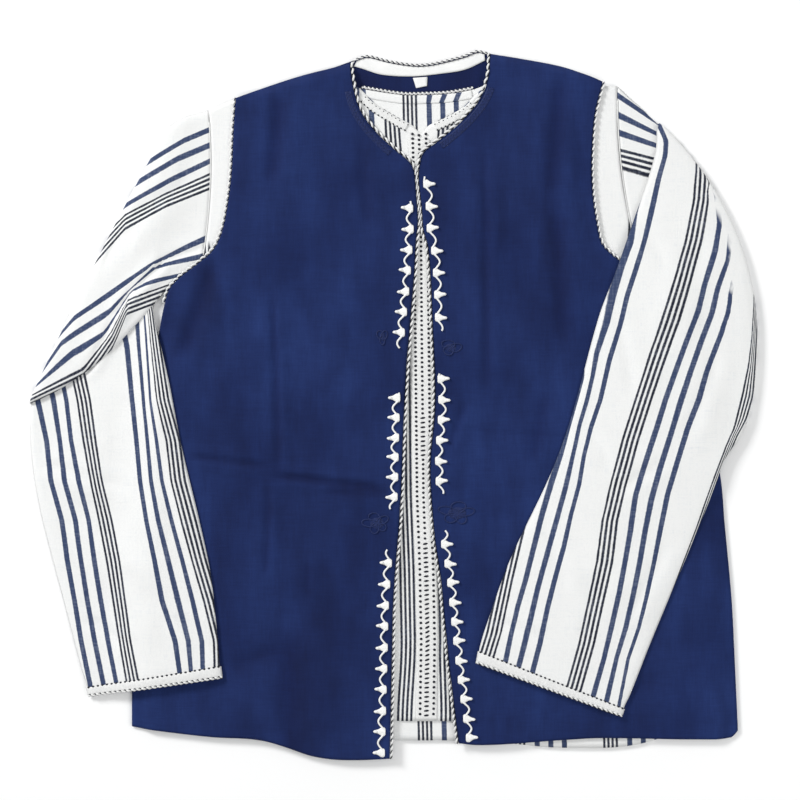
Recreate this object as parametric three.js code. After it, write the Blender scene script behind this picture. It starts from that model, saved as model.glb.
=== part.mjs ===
// A two-piece outfit laid flat on its back: a navy vest, open down the front and edged with
// twisted cord and white braid, over a white shirt with long striped sleeves folded in at the sides.
// Millimetres. x runs to the right as seen from above, y toward the neck, z up from the surface.
import * as THREE from "three";

// Thicknesses and heights of the layers
const WALL = 1.3;
const SEAM = 0.3;
const VEST_BACK_Z = 0;
const SHIRT_BACK_Z = 1.7;
const SHIRT_FRONT_Z = 3.4;
const VEST_FRONT_Z = 6.3;
const VEST_SEAM_Z = 1.6;
const SIDE_SLOPE = 25;
const SHOULDER_SLOPE = 9;
const SHOULDER_FADE = 28;
const HEM_SLOPE = 35;
const HEM_DROP = 1.5;
const CORNER_Y = 115;
const CORNER_SLOPE = 44;

// Sizes of the trims
const CORD_RADIUS = 1.75;
const CORD_Z = 7.9;
const CORD_NECK_Z = 3.45;
const ARMHOLE_CORD_Z = 6.9;
const CORD_BESIDE = 2.15;
const BRAID_THICK = 1.2;
const BRAID_CORD = 1.1;
const TUFT_REACH = 11;
const RIBBON_THICK = 0.9;
const NECK_BRAID_IN = 4.2;
const NECK_BRAID_WIDTH = 8;
const NECK_BAND_WIDTH = 9;
const PLACKET_WIDTH = 24;

// Sizes of the sleeves
const SLEEVE_HALF = 1.5;
const SLEEVE_WALL = 1.2;
const SLEEVE_COLUMNS = 10;
const CUFF_BAND = 11;

const NAVY = 0x212d62;
const NAVY_BRAID = 0x1b2654;
const WHITE = 0xe9e9ea;
const TRIM_WHITE = 0xf4f4f2;
const CORD_GREY = 0xa9abb4;

// Outline tables of the vest. Columns: x, y
const SHOULDER_LEFT = [
  [-172, 336.5], [-143.5, 347.5], [-102, 361], [-69, 369.5], [-47, 375],
];
const OUTER_LEFT = [
  [-172, 336.5], [-174.5, 301.5], [-176.5, 257.5], [-181, 219], [-187.5, 189], [-197.5, 168.5],
  [-214, 154], [-234, 138.5], [-245, 126.5], [-249, 115.5], [-254.5, 92.5], [-260, 59.5],
  [-267, 4.5], [-278, -105.5], [-285.5, -215.5], [-287, -325.5], [-287, -355],
];
const HEM_LEFT = [
  [-287, -355], [-267, -358.5], [-198.5, -366.5], [-158, -368.5], [-138, -371.5],
  [-115, -378.5], [-90, -387], [-65, -391], [-34.5, -391.5], [-3, -390],
];
const SHOULDER_RIGHT = [
  [108, 385.5], [140, 380.5], [184.5, 372], [212, 363], [231, 354.5],
];
const OUTER_RIGHT = [
  [231, 354.5], [226.5, 337.5], [222, 318], [219.5, 291.5], [218.5, 259], [220, 229],
  [224.5, 198], [230, 176], [241.5, 163.5], [250.5, 157], [272, 144], [290, 128.5],
  [298.5, 114.5], [303, 101], [312, 76], [327, 45], [338, 21], [360.5, -76],
  [366, -134], [373.5, -215.5], [377.5, -295], [380.5, -359.5],
];
const HEM_RIGHT = [
  [73, -373], [93, -375], [127, -374], [183, -370], [230.5, -367.5], [334, -369],
  [373.5, -367], [380.5, -359.5],
];
const VEST_BACK_HEM = [
  [-287, -352], [-198.5, -362], [-102, -366.5], [8, -366.5], [71, -366.5], [184.5, -364],
  [334, -364], [380.5, -357.5],
];
const FACING_LOWER = [
  [-42.5, 372], [-33.5, 369.5], [-12.5, 363], [21.5, 361], [53.5, 364], [80, 368.5], [102, 378.5],
];

// Centre line of the twisted cord round the front edges and the neck. Columns: x, y
const CORD_LEFT = [
  [-44.5, 372], [-42.5, 356.5], [-36, 329], [-22.5, 307], [-3, 287], [9.5, 276.5], [18.2, 269.8], [23, 261.5],
  [25, 246.5], [26.5, 227.5], [28, 208], [28.5, 192.5], [27.5, 172.5], [25, 130], [21, 85],
  [16.5, 26.5], [13.5, -38.5], [10.5, -113.5], [3, -215.5], [1.5, -281.5], [-1, -389.5],
];
const CORD_RIGHT = [
  [105.5, 380.5], [104, 362], [96.5, 340], [85, 323.5], [69, 307], [52.5, 293.5], [44, 287], [36, 281.5], [30.6, 275],
  [28.4, 265], [28.6, 246.5], [30.5, 227.5], [32.5, 208], [33, 188], [37, 172.5], [40, 135.5],
  [42, 85], [44.5, 31], [44.5, -7.5], [40, -54], [39.5, -83.5], [44.5, -148.5],
  [50.5, -188], [58, -266], [62, -302.5], [71, -372],
];
const CORD_BACK = [
  [-40, 379.5], [-28, 383], [-4, 377.5], [21.5, 373.5], [40, 374], [63.5, 379],
  [80, 383.5], [93, 388.5], [101.5, 387],
];

// Outline tables of the shirt body. Columns: x, y
const SHIRT_TOP_BACK = [
  [-202, 323.5], [-173, 335.5], [-143.5, 336.5], [-102, 348.5], [-58, 355.5], [-34.5, 347.5],
  [10.5, 340.5], [37, 340.5], [63.5, 342], [89.5, 346.5], [118.5, 356.5], [184.5, 356.5],
  [228.5, 350], [247, 350],
];
const SHIRT_TOP_FRONT = [
  [-202, 323.5], [-173, 335.5], [-143.5, 336.5], [-102, 348.5], [-58, 355.5], [-38, 348.5],
  [-19, 331], [6, 315.5], [21.5, 307], [32, 298], [39, 306], [58, 315.5], [77.5, 326.5],
  [94, 343], [118.5, 356.5], [184.5, 356.5], [228.5, 350], [247, 350],
];
const SHIRT_SIDE_LEFT = [
  [-202, 323.5], [-199.5, 281], [-200, 238.5], [-203, 196.5], [-209, 154], [-212, 136.5],
  [-220.5, 103.5], [-230.5, 59.5], [-238, 4.5], [-249, -105.5], [-256, -215.5],
  [-258, -325.5], [-258, -339],
];
const SHIRT_SIDE_RIGHT = [
  [247, 350], [247.5, 300], [252, 249.5], [261, 199.5], [273, 149.5], [274.5, 131],
  [283, 92.5], [294, 59.5], [312, 4.5], [331.5, -76], [338, -134], [345, -215.5],
  [349, -295], [350.5, -332],
];
const SHIRT_HEM_FRONT = [
  [-258, -339], [-179, -343], [-102, -347.5], [-36, -348.5], [28, -349], [59, -349],
  [140, -350], [228.5, -348.5], [294, -343], [350.5, -332],
];
const SHIRT_HEM_BACK = [
  [-258, -339], [-179, -350], [-102, -359.5], [-36, -367.5], [8, -370.5], [59, -370.5],
  [124, -373.5], [184.5, -378.5], [263.5, -376], [316, -358.5], [350.5, -332],
];

// Broad soft folds of the vest fronts. Columns: x0, y0, x1, y1, width, height
const FOLDS_LEFT = [
  [-127, 330, -131, -30, 26, 1.1],
  [-225, -58, -20, -84, 22, 1.1],
  [-139, -95, -144, -230, 24, 1.0],
  [-160, -310, -100, -372, 26, 1.8],
];
const FOLDS_RIGHT = [
  [99, 245, 99, 10, 24, 0.9],
  [176, 355, 172, 90, 26, 1.5],
];

// Folds of the sleeves' upper walls, same columns
const FOLDS_SLEEVE_LEFT = [
  [-262, 156, -326, 54, 11, 2.0],
  [-392, -76, -306, -104, 15, 1.5],
  [-268, 2, -250, -52, 10, 1.3],
  [-330, -150, -262, -196, 18, 1.2],
];
const FOLDS_SLEEVE_RIGHT = [
  [335, 208, 272, -18, 18, 1.4],
  [222, -44, 292, -78, 17, 1.4],
  [180, -168, 270, -212, 18, 1.2],
];

// White braid groups. Columns: name, side, y of the first tuft, y of the last, tufts, distance of
// the braid from the cord at the first tuft and at the last, length of plain braid above and below
const BRAIDS = [
  ["braid_left_1", -1, 215, 78.5, 7, 5.0, 7.0, 8.5, 18],
  ["braid_left_2", -1, 6.6, -102, 6, 7.0, 5.6, 6.5, 14.5],
  ["braid_left_3", -1, -175, -383.5, 10, 6.6, 7.6, 15.5, 5.2],
  ["braid_right_1", 1, 242, 95.5, 7, 5.0, 5.2, 8.5, 16.5],
  ["braid_right_2", 1, 27.5, -85, 6, 5.0, 8.0, 6.5, 15],
  ["braid_right_3", 1, -154, -367, 11, 8.4, 10.4, 15.5, 5.4],
];

// Navy corded knots between the braids. Columns: name, side, x, y, half width, half height, lobes, turn
const KNOTS = [
  ["knot_left_upper", -1, -11, 74, 6, 9, 3, 0.5],
  ["knot_right_upper", 1, 64, 62, 12, 9, 3, 0.0],
  ["knot_left_lower", -1, -17, -131, 15, 12, 5, 0.6],
  ["knot_right_lower", 1, 71, -120, 20, 13, 5, 0.2],
];

// Sections of the left sleeve from the armhole to the cuff. Columns: x and y of one edge, x and y of
// the other, bow outward, share of the fold, height of the centre, puff above, lift
const SLEEVE_LEFT = [
  [-202.8, 323.5, -209.8, 154, -5.5, 0, 3.2, 0, 0],
  [-214, 320, -242.5, 132, -3.3, 0, 4.0, 0.6, 0],
  [-225, 317, -276.5, 93.5, 0, 0, 5.4, 1.4, 0],
  [-234, 312.5, -319.5, 49.5, 2.2, 0, 5.8, 2.0, 0],
  [-239.5, 309, -363.5, 17.5, 3.3, 0, 5.8, 1.2, 0],
  [-241, 307.5, -386, 6, 3.5, 0, 5.8, 0.5, 0],
  [-242.5, 306, -396.5, 0, 3.9, 0.25, 5.8, 0, 0],
  [-242.5, 306, -397.5, 0, 3.9, 0.5, 5.8, 0, 0],
  [-242.5, 306, -397.5, 0, 3.9, 0.75, 5.8, 0, 0],
  [-243.5, 297, -398, -4, 3.5, 1, 1.5, 0, 0],
  [-254.5, 235.5, -399.5, -23, 1.1, 1, 1.5, 0, 0],
  [-263.5, 164, -399, -39.5, 0, 1, 1.5, 0, 0],
  [-262.5, 101, -397.5, -59.5, 0, 1, 1.5, 1.2, 0],
  [-253.5, 59.5, -394.5, -83.5, 0, 1, 1.5, 2.4, 0],
  [-245, 22, -389, -114.5, 0, 1, 1.5, 3.0, 0],
  [-233, -40.5, -380, -152, 0, 1, 1.5, 2.6, 0],
  [-212, -128.5, -363, -215.5, 0, 1, 1.5, 3.2, 0],
  [-199.5, -188, -353.5, -252, 0, 1, 1.5, 2.2, 0.2],
  [-191.5, -262, -341.5, -296, 0, 1, 1.5, 2.0, 1.0],
  [-190, -281, -337.5, -307, 0, 1, 1.5, 1.6, 1.6],
  [-188, -299, -334, -320, 0, 1, 1.5, 1.4, 1.6],
];

// Sections of the right sleeve, same columns
const SLEEVE_RIGHT = [
  [247.8, 350, 274.3, 149.5, -7.7, 0, 3.2, 0, 0],
  [259, 339, 292, 143, -3.3, 0, 3.0, 0, 0],
  [272, 328, 320.5, 110, 4.4, 0, 2.2, 0, 0],
  [283, 317, 351.5, 50.5, 19.8, 0, 1.5, 0, 0],
  [289, 311.5, 373.5, 0, 37.4, 0, 1.5, 0, 0],
  [290.5, 309, 384, -20, 47, 0, 1.5, 0, 0],
  [291, 308, 386, -23, 48.2, 0.25, 7.6, 0, 0],
  [291, 308, 386.5, -23, 48.4, 0.5, 7.6, 0, 0],
  [291, 308, 386, -23, 48.2, 0.75, 7.6, 0, 0],
  [290.5, 300, 385, -28, 47, 1, 7.6, 0.4, 0],
  [289, 277, 380, -39.5, 41.8, 1, 7.6, 1.6, 0],
  [279, 242, 372.5, -49.5, 33, 1, 7.6, 2.6, 0],
  [263.5, 198, 363.5, -64, 22, 1, 7.6, 3.2, 0],
  [245, 145, 357, -83.5, 12.1, 1, 7.6, 3.4, 0],
  [226.5, 95.5, 347, -109, 5.5, 1, 7.6, 3.4, 0],
  [196.5, -14, 320.5, -174, 0, 1, 7.6, 2.8, 0],
  [174, -76, 307.5, -204.5, 0, 1, 7.6, 3.4, 0],
  [129, -171.5, 282, -266, 0, 1, 7.6, 3.0, 0],
  [103, -243, 261, -319, 0, 1, 7.6, 2.0, 1.0],
  [96, -266, 255, -331, 0, 1, 7.6, 1.6, 1.6],
  [93, -282.5, 251.5, -341, 0, 1, 7.6, 1.4, 1.6],
];

// Small helpers
const lerp = (a, b, t) => a + (b - a) * t;
const clamp = (t) => Math.min(1, Math.max(0, t));
const smooth = (a, b, t) => {
  const s = clamp((t - a) / (b - a));
  return s * s * (3 - 2 * s);
};

// A smooth curve through the rows of a table, walked by the share of its run along x (0) or y (1)
function curve(table, axis) {
  const first = table[0][axis];
  const run = table[table.length - 1][axis] - first;
  const knots = table.map((p) => (p[axis] - first) / run);
  const slope = (i) => {
    const a = Math.max(0, i - 1);
    const b = Math.min(table.length - 1, i + 1);
    const span = knots[b] - knots[a];
    return [(table[b][0] - table[a][0]) / span, (table[b][1] - table[a][1]) / span];
  };
  return (t) => {
    const s = clamp(t);
    let i = 0;
    while (i < table.length - 2 && knots[i + 1] < s) i += 1;
    const span = knots[i + 1] - knots[i];
    const h = (s - knots[i]) / span;
    const m0 = slope(i);
    const m1 = slope(i + 1);
    const h2 = h * h;
    const h3 = h2 * h;
    return [0, 1].map((k) =>
      (2 * h3 - 3 * h2 + 1) * table[i][k] + (h3 - 2 * h2 + h) * span * m0[k] +
      (3 * h2 - 2 * h3) * table[i + 1][k] + (h3 - h2) * span * m1[k]);
  };
}

// The same table shifted sideways by a distance, to the left of its direction of travel
function beside(table, distance) {
  return table.map((p, i) => {
    const a = table[Math.max(0, i - 1)];
    const b = table[Math.min(table.length - 1, i + 1)];
    const length = Math.hypot(b[0] - a[0], b[1] - a[1]);
    return [p[0] - (b[1] - a[1]) / length * distance, p[1] + (b[0] - a[0]) / length * distance];
  });
}

// Points of a four-sided patch between its top, bottom, left and right edge curves
function patch(top, bottom, left, right, columns, rows) {
  const grid = [];
  for (const v of rows) {
    const row = [];
    for (const u of columns) {
      const [t, b, l, r] = [top(u), bottom(u), left(v), right(v)];
      const corners = [top(0), top(1), bottom(0), bottom(1)];
      row.push([0, 1].map((k) =>
        (1 - v) * t[k] + v * b[k] + (1 - u) * l[k] + u * r[k] -
        ((1 - u) * (1 - v) * corners[0][k] + u * (1 - v) * corners[1][k] +
          (1 - u) * v * corners[2][k] + u * v * corners[3][k])));
    }
    grid.push(row);
  }
  return grid;
}

const even = (n) => Array.from({ length: n + 1 }, (_, i) => i / n);

function meshOf(name, points, faces, colour) {
  const geometry = new THREE.BufferGeometry();
  geometry.setAttribute("position", new THREE.Float32BufferAttribute(points.flat(), 3));
  geometry.setIndex(faces.flat());
  geometry.computeVertexNormals();
  const mesh = new THREE.Mesh(geometry, new THREE.MeshStandardMaterial({ color: colour, roughness: 0.9 }));
  mesh.name = name;
  return mesh;
}

// A closed sheet between an upper and a lower grid of points
function sheet(name, upper, lower, colour) {
  const rows = upper.length;
  const columns = upper[0].length;
  const points = [...upper.flat(), ...lower.flat()];
  const at = (side, i, j) => side * rows * columns + i * columns + j;
  const faces = [];
  const quad = (a, b, c, d) => faces.push([a, b, c], [a, c, d]);
  for (let i = 0; i + 1 < rows; i += 1) {
    for (let j = 0; j + 1 < columns; j += 1) {
      quad(at(0, i, j), at(0, i + 1, j), at(0, i + 1, j + 1), at(0, i, j + 1));
      quad(at(1, i, j), at(1, i, j + 1), at(1, i + 1, j + 1), at(1, i + 1, j));
    }
  }
  for (let i = 0; i + 1 < rows; i += 1) {
    quad(at(0, i, 0), at(1, i, 0), at(1, i + 1, 0), at(0, i + 1, 0));
    quad(at(0, i, columns - 1), at(0, i + 1, columns - 1), at(1, i + 1, columns - 1), at(1, i, columns - 1));
  }
  for (let j = 0; j + 1 < columns; j += 1) {
    quad(at(0, 0, j), at(0, 0, j + 1), at(1, 0, j + 1), at(1, 0, j));
    quad(at(0, rows - 1, j), at(1, rows - 1, j), at(1, rows - 1, j + 1), at(0, rows - 1, j + 1));
  }
  return meshOf(name, points, faces, colour);
}

// A panel of cloth: a flat grid raised to a height above each point
function panel(name, grid, height, colour, thick = WALL) {
  const upper = grid.map((row) => row.map(([x, y]) => [x, y, height(x, y) + thick]));
  const lower = grid.map((row) => row.map(([x, y]) => [x, y, height(x, y)]));
  return sheet(name, upper, lower, colour);
}

// A round cord along a list of points
function cord(name, path, radius, sides, colour) {
  const points = [];
  const faces = [];
  path.forEach((p, i) => {
    const a = new THREE.Vector3(...path[Math.max(0, i - 1)]);
    const b = new THREE.Vector3(...path[Math.min(path.length - 1, i + 1)]);
    const along = b.sub(a).normalize();
    const side = new THREE.Vector3(0, 0, 1).cross(along).normalize();
    const up = new THREE.Vector3().crossVectors(along, side);
    for (let k = 0; k < sides; k += 1) {
      const angle = (k + 0.5) / sides * 2 * Math.PI;
      points.push([0, 1, 2].map((c) => p[c] + radius *
        (Math.cos(angle) * side.getComponent(c) + Math.sin(angle) * up.getComponent(c))));
    }
  });
  const last = (path.length - 1) * sides;
  for (let i = 0; i + 1 < path.length; i += 1) {
    for (let k = 0; k < sides; k += 1) {
      const n = (k + 1) % sides;
      const [a, b] = [i * sides + k, i * sides + n];
      faces.push([a, b, b + sides], [a, b + sides, a + sides]);
    }
  }
  for (let k = 1; k + 1 < sides; k += 1) {
    faces.push([0, k + 1, k], [last, last + k, last + k + 1]);
  }
  return meshOf(name, points, faces, colour);
}

// Heights of the layers at a point
const shoulderLeft = curve(SHOULDER_LEFT, 0);
const shoulderRight = curve(SHOULDER_RIGHT, 0);
const sideLeft = curve(OUTER_LEFT, 1);
const sideRight = curve(OUTER_RIGHT, 1);
const hemLeft = curve(HEM_LEFT, 0);
const hemRight = curve(HEM_RIGHT, 0);
const share = (table, axis, value) =>
  (value - table[0][axis]) / (table[table.length - 1][axis] - table[0][axis]);

// Distance of a point inside the side edge of the vest, on the side given by its sign
function insideSide(side, x, y) {
  const table = side < 0 ? OUTER_LEFT : OUTER_RIGHT;
  const edge = (side < 0 ? sideLeft : sideRight)(share(table, 1, y))[0];
  return side < 0 ? x - edge : edge - x;
}

// Height that the folds of a table add at a point
function foldRise(folds, x, y) {
  return folds.reduce((sum, [x0, y0, x1, y1, width, height]) => {
    const [dx, dy] = [x1 - x0, y1 - y0];
    const t = clamp(((x - x0) * dx + (y - y0) * dy) / (dx * dx + dy * dy));
    const away = Math.hypot(x - x0 - t * dx, y - y0 - t * dy);
    return sum + height * Math.exp(-((away / width) ** 2)) * Math.sin(Math.PI * (0.1 + 0.8 * t));
  }, 0);
}

// Underside of a vest front
function frontHeight(side, x, y) {
  const left = side < 0;
  const table = left ? SHOULDER_LEFT : SHOULDER_RIGHT;
  const shoulder = (left ? shoulderLeft : shoulderRight)(share(table, 0, x))[1];
  const tip = left ? x - SHOULDER_LEFT[0][0] : SHOULDER_RIGHT[4][0] - x;
  const hemTable = left ? HEM_LEFT : HEM_RIGHT;
  const hem = (left ? hemLeft : hemRight)(share(hemTable, 0, x))[1];
  const opening = left ? -x : x - 71;
  const full = VEST_FRONT_Z - VEST_SEAM_Z;
  const shoulderDrop = full * (1 - smooth(0, SHOULDER_SLOPE, shoulder - y)) * smooth(0, SHOULDER_FADE, tip);
  const sideDrop = full * (1 - smooth(0, SIDE_SLOPE, insideSide(side, x, y))) *
    smooth(0, CORNER_SLOPE, CORNER_Y - y);
  const hemDrop = HEM_DROP * (1 - smooth(0, HEM_SLOPE, y - hem)) * smooth(40, 90, opening);
  const low = Math.max(VEST_SEAM_Z, VEST_FRONT_Z - shoulderDrop - sideDrop - hemDrop);
  const raised = (low - VEST_SEAM_Z) / full;
  return low + foldRise(left ? FOLDS_LEFT : FOLDS_RIGHT, x, y) * raised ** 2 * smooth(8, 45, opening + 30);
}

// What a sleeve's forearm rests on: the vest front inside its side seam, and lower ground beyond it
const LEFT_REST = 8.1;
const RIGHT_REST = 2.2;
const restLeft = (x, y) => LEFT_REST * smooth(-36, 22, insideSide(-1, x, Math.min(y, CORNER_Y))) *
  (1 - smooth(105, 165, y));
function restRight(x, y) {
  const onVest = RIGHT_REST * smooth(-34, 6, insideSide(1, x, Math.min(y, CORNER_Y))) * (1 - smooth(160, 240, y));
  const [ax, ay, bx, by] = [230, 176, 298.5, 114.5];
  const t = clamp(((x - ax) * (bx - ax) + (y - ay) * (by - ay)) / ((bx - ax) ** 2 + (by - ay) ** 2));
  const away = Math.hypot(x - lerp(ax, bx, t), y - lerp(ay, by, t));
  return onVest + (1 - smooth(14, 55, away)) * (3.6 - onVest);
}

// Panels of the vest
const group = new THREE.Group();
const leftInner = beside(CORD_LEFT, -CORD_BESIDE);
leftInner[0] = SHOULDER_LEFT[4];
leftInner[leftInner.length - 1] = HEM_LEFT[9];
const rightInner = beside(CORD_RIGHT, CORD_BESIDE);
rightInner[0] = SHOULDER_RIGHT[0];
rightInner[rightInner.length - 1] = HEM_RIGHT[0];
const edgeLeft = curve(leftInner, 1);
const edgeRight = curve(rightInner, 1);

const ROWS_FRONT = [0, 0.012, 0.035, 0.06, 0.085, 0.11, 0.133, 0.15, 0.17, 0.195, 0.22, 0.245, 0.27,
  0.295, 0.32, 0.36, 0.42, 0.49, 0.56, 0.63, 0.7, 0.77, 0.84, 0.9, 0.95, 0.98, 1];
const CORNER_ROW = 14;
const COLUMNS_LEFT = [0, 0.035, 0.08, 0.16, 0.26, 0.36, 0.46, 0.56, 0.66, 0.75, 0.83, 0.9, 0.955, 1];
const COLUMNS_RIGHT = COLUMNS_LEFT.map((u) => 1 - u).reverse();
const frontLeftGrid = patch(shoulderLeft, hemLeft, sideLeft, edgeLeft, COLUMNS_LEFT, ROWS_FRONT);
const frontRightGrid = patch(shoulderRight, hemRight, edgeRight, sideRight, COLUMNS_RIGHT, ROWS_FRONT);
const frontLeft = panel("vest_front_left", frontLeftGrid, (x, y) => frontHeight(-1, x, y), NAVY);
const frontRight = panel("vest_front_right", frontRightGrid, (x, y) => frontHeight(1, x, y), NAVY);

const backTop = [...SHOULDER_LEFT.slice(0, 4), ...CORD_BACK, ...SHOULDER_RIGHT.slice(1)];
const backColumns = backTop.map((p) => share(backTop, 0, p[0]));
const ROWS_BACK = [0, 0.06, 0.12, 0.18, 0.23, 0.27, 0.3, 0.33, 0.38, 0.46, 0.56, 0.68, 0.8, 0.9, 1];
const backGrid = patch(curve(backTop, 0), curve(VEST_BACK_HEM, 0), sideLeft, sideRight, backColumns, ROWS_BACK);
group.add(panel("vest_back", backGrid, () => VEST_BACK_Z, NAVY), frontLeft, frontRight);

// Panels of the shirt body
const shirtLeft = curve(SHIRT_SIDE_LEFT, 1);
const shirtRight = curve(SHIRT_SIDE_RIGHT, 1);
const shirtTopShare = SHIRT_TOP_FRONT.map((p) => share(SHIRT_TOP_FRONT, 0, p[0]));
const shirtBackGrid = patch(curve(SHIRT_TOP_BACK, 0), curve(SHIRT_HEM_BACK, 0), shirtLeft, shirtRight,
  even(18), ROWS_BACK);
const shirtFrontGrid = patch(curve(SHIRT_TOP_FRONT, 0), curve(SHIRT_HEM_FRONT, 0), shirtLeft, shirtRight,
  shirtTopShare, ROWS_BACK);
const shirtBack = panel("shirt_back", shirtBackGrid, () => SHIRT_BACK_Z, WHITE);
const shirtFront = panel("shirt_front", shirtFrontGrid, () => SHIRT_FRONT_Z, WHITE);
group.add(shirtBack, shirtFront);

// Height of a mesh's upper surface at a point
const ray = new THREE.Raycaster();
function surface(mesh, x, y) {
  ray.set(new THREE.Vector3(x, y, 100), new THREE.Vector3(0, 0, -1));
  const hit = ray.intersectObject(mesh)[0];
  return hit ? hit.point.z : null;
}

// A ribbon laid on cloth whose upper surface has the given height. Rows: x, y of one edge, x, y of the other
function ribbon(name, height, table, thick, colour) {
  const grid = table.map(([ax, ay, bx, by]) => [[ax, ay], [bx, by]]);
  const lift = (p) => height(p[0], p[1]) + SEAM;
  const lower = grid.map((row) => row.map((p) => [p[0], p[1], lift(p)]));
  const upper = lower.map((row) => row.map((p) => [p[0], p[1], p[2] + thick]));
  return sheet(name, upper, lower, colour);
}

// Ribbon rows along a curve from one share to another, between two sideways distances
function along(walk, from, to, steps, near, far) {
  return even(steps).map((s) => {
    const t = lerp(from, to, s);
    const [p, q] = [walk(t - 0.004), walk(t + 0.004)];
    const c = walk(t);
    const length = Math.hypot(q[0] - p[0], q[1] - p[1]);
    const [nx, ny] = [-(q[1] - p[1]) / length, (q[0] - p[0]) / length];
    return [c[0] + nx * near, c[1] + ny * near, c[0] + nx * far, c[1] + ny * far];
  });
}

// Facing and size label inside the back neck, placket and neck bands of the shirt
const onVestBack = () => VEST_BACK_Z + WALL;
const onShirtBack = () => SHIRT_BACK_Z + WALL;
const onShirtFront = () => SHIRT_FRONT_Z + WALL;
const onFrontLeft = (x, y) => surface(frontLeft, x, y);
const onFrontRight = (x, y) => surface(frontRight, x, y);
const facingTop = curve(beside(CORD_BACK, -CORD_BESIDE - 0.9), 0);
const facingLower = curve(FACING_LOWER, 0);
const facingRows = even(12).map((s) => {
  const [a, b] = [facingTop(s), facingLower(s)];
  return [b[0], Math.min(b[1], a[1] - 2.5), a[0], a[1]];
});
group.add(ribbon("vest_neck_facing", onVestBack, facingRows, 1, WHITE));
group.add(ribbon("vest_neck_label", onVestBack, [[22.5, 359.2, 38.5, 360.4], [26, 348, 38, 350.5]], 1, TRIM_WHITE));

const placketRows = even(12).map((s) => {
  const y = lerp(286, -348, s);
  const x = lerp(32.5, 37.5, smooth(0, 1, s));
  return [x - PLACKET_WIDTH / 2, y, x + PLACKET_WIDTH / 2, y];
});
group.add(ribbon("shirt_placket", onShirtFront, placketRows, RIBBON_THICK, TRIM_WHITE));

const neckLeft = curve(SHIRT_TOP_FRONT.slice(5, 10), 0);
const neckRight = curve(SHIRT_TOP_FRONT.slice(9, 14), 0);
const neckBack = curve(SHIRT_TOP_BACK.slice(5, 10), 0);
const BAND_IN = -0.6;
group.add(ribbon("shirt_neck_band_left", onShirtFront,
  along(neckLeft, 0.14, 0.8, 6, BAND_IN - NECK_BAND_WIDTH, BAND_IN), RIBBON_THICK, TRIM_WHITE));
group.add(ribbon("shirt_neck_band_right", onShirtFront,
  along(neckRight, 0.22, 0.84, 6, BAND_IN - NECK_BAND_WIDTH, BAND_IN), RIBBON_THICK, TRIM_WHITE));
group.add(ribbon("shirt_neck_band_back", onShirtBack,
  along(neckBack, 0.14, 0.84, 8, BAND_IN - NECK_BAND_WIDTH, BAND_IN), RIBBON_THICK, TRIM_WHITE));
const neckCordPath = along(neckBack, 0.04, 0.94, 14, 1.7, 1.7).map(([x, y]) => [x, y, 3.0]);
group.add(cord("shirt_neck_cord", neckCordPath, 1.3, 6, CORD_GREY));

// Twisted cord: up the left front edge, round the neck and down the right front edge
const lifted = (table, height) => table.map(([x, y]) => [x, y, height(y)]);
const neckRise = (top) => (y) => lerp(CORD_NECK_Z, CORD_Z, smooth(0, 16, top - y));
const leftEdge = beside(frontLeftGrid.map((row) => row[row.length - 1]), CORD_BESIDE);
const rightEdge = beside(frontRightGrid.map((row) => row[0]), -CORD_BESIDE);
const cordPath = [
  ...lifted(leftEdge, neckRise(374)).reverse(),
  ...lifted(CORD_BACK, () => CORD_NECK_Z),
  ...lifted(rightEdge, neckRise(383)),
];
group.add(cord("vest_edge_cord", cordPath, CORD_RADIUS, 6, CORD_GREY));
const armholeLeft = beside(frontLeftGrid.slice(0, CORNER_ROW).map((row) => row[0]), -CORD_BESIDE);
const armholeRight = beside(frontRightGrid.slice(0, CORNER_ROW).map((row) => row[row.length - 1]), CORD_BESIDE);
group.add(cord("vest_armhole_cord_left", lifted(armholeLeft, () => ARMHOLE_CORD_Z), CORD_RADIUS, 6, CORD_GREY));
group.add(cord("vest_armhole_cord_right", lifted(armholeRight, () => ARMHOLE_CORD_Z), CORD_RADIUS, 6, CORD_GREY));

// White braid with pointed tufts, following the cord
for (const [name, side, first, last, tufts, nearFirst, nearLast, above, below] of BRAIDS) {
  const cordTable = side < 0 ? CORD_LEFT : CORD_RIGHT;
  const walk = curve(cordTable, 1);
  const pitch = (last - first) / (tufts - 1);
  const rows = [];
  const addRow = (y, reach) => {
    const s = clamp((y - first) / (last - first));
    const x = walk(share(cordTable, 1, y))[0] + side * lerp(nearFirst, nearLast, s);
    rows.push(side < 0 ? [x - reach, y, x + BRAID_CORD, y] : [x - BRAID_CORD, y, x + reach, y]);
  };
  addRow(first + above, BRAID_CORD);
  for (let k = 0; k < tufts; k += 1) {
    const y = first + k * pitch;
    if (k > 0) addRow(y - 0.5 * pitch, BRAID_CORD);
    addRow(y - 0.23 * pitch, BRAID_CORD + 1.2);
    addRow(y, TUFT_REACH);
    addRow(y + 0.23 * pitch, BRAID_CORD + 1.2);
  }
  if (below > 0.4 * -pitch) addRow(last + 0.5 * pitch, BRAID_CORD);
  addRow(last - below, BRAID_CORD);
  group.add(ribbon(name, side < 0 ? onFrontLeft : onFrontRight, rows, BRAID_THICK, TRIM_WHITE));
}

// Navy braid outside the neckline
group.add(ribbon("vest_neck_braid_left", onFrontLeft,
  along(curve(CORD_LEFT, 1), 0.035, 0.118, 12, -NECK_BRAID_IN, -NECK_BRAID_IN - NECK_BRAID_WIDTH).map(
    ([a, b, c, d]) => [c, d, a, b]), RIBBON_THICK, NAVY_BRAID));
group.add(ribbon("vest_neck_braid_right", onFrontRight,
  along(curve(CORD_RIGHT, 1), 0.04, 0.12, 12, NECK_BRAID_IN, NECK_BRAID_IN + NECK_BRAID_WIDTH),
  RIBBON_THICK, NAVY_BRAID));

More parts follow.
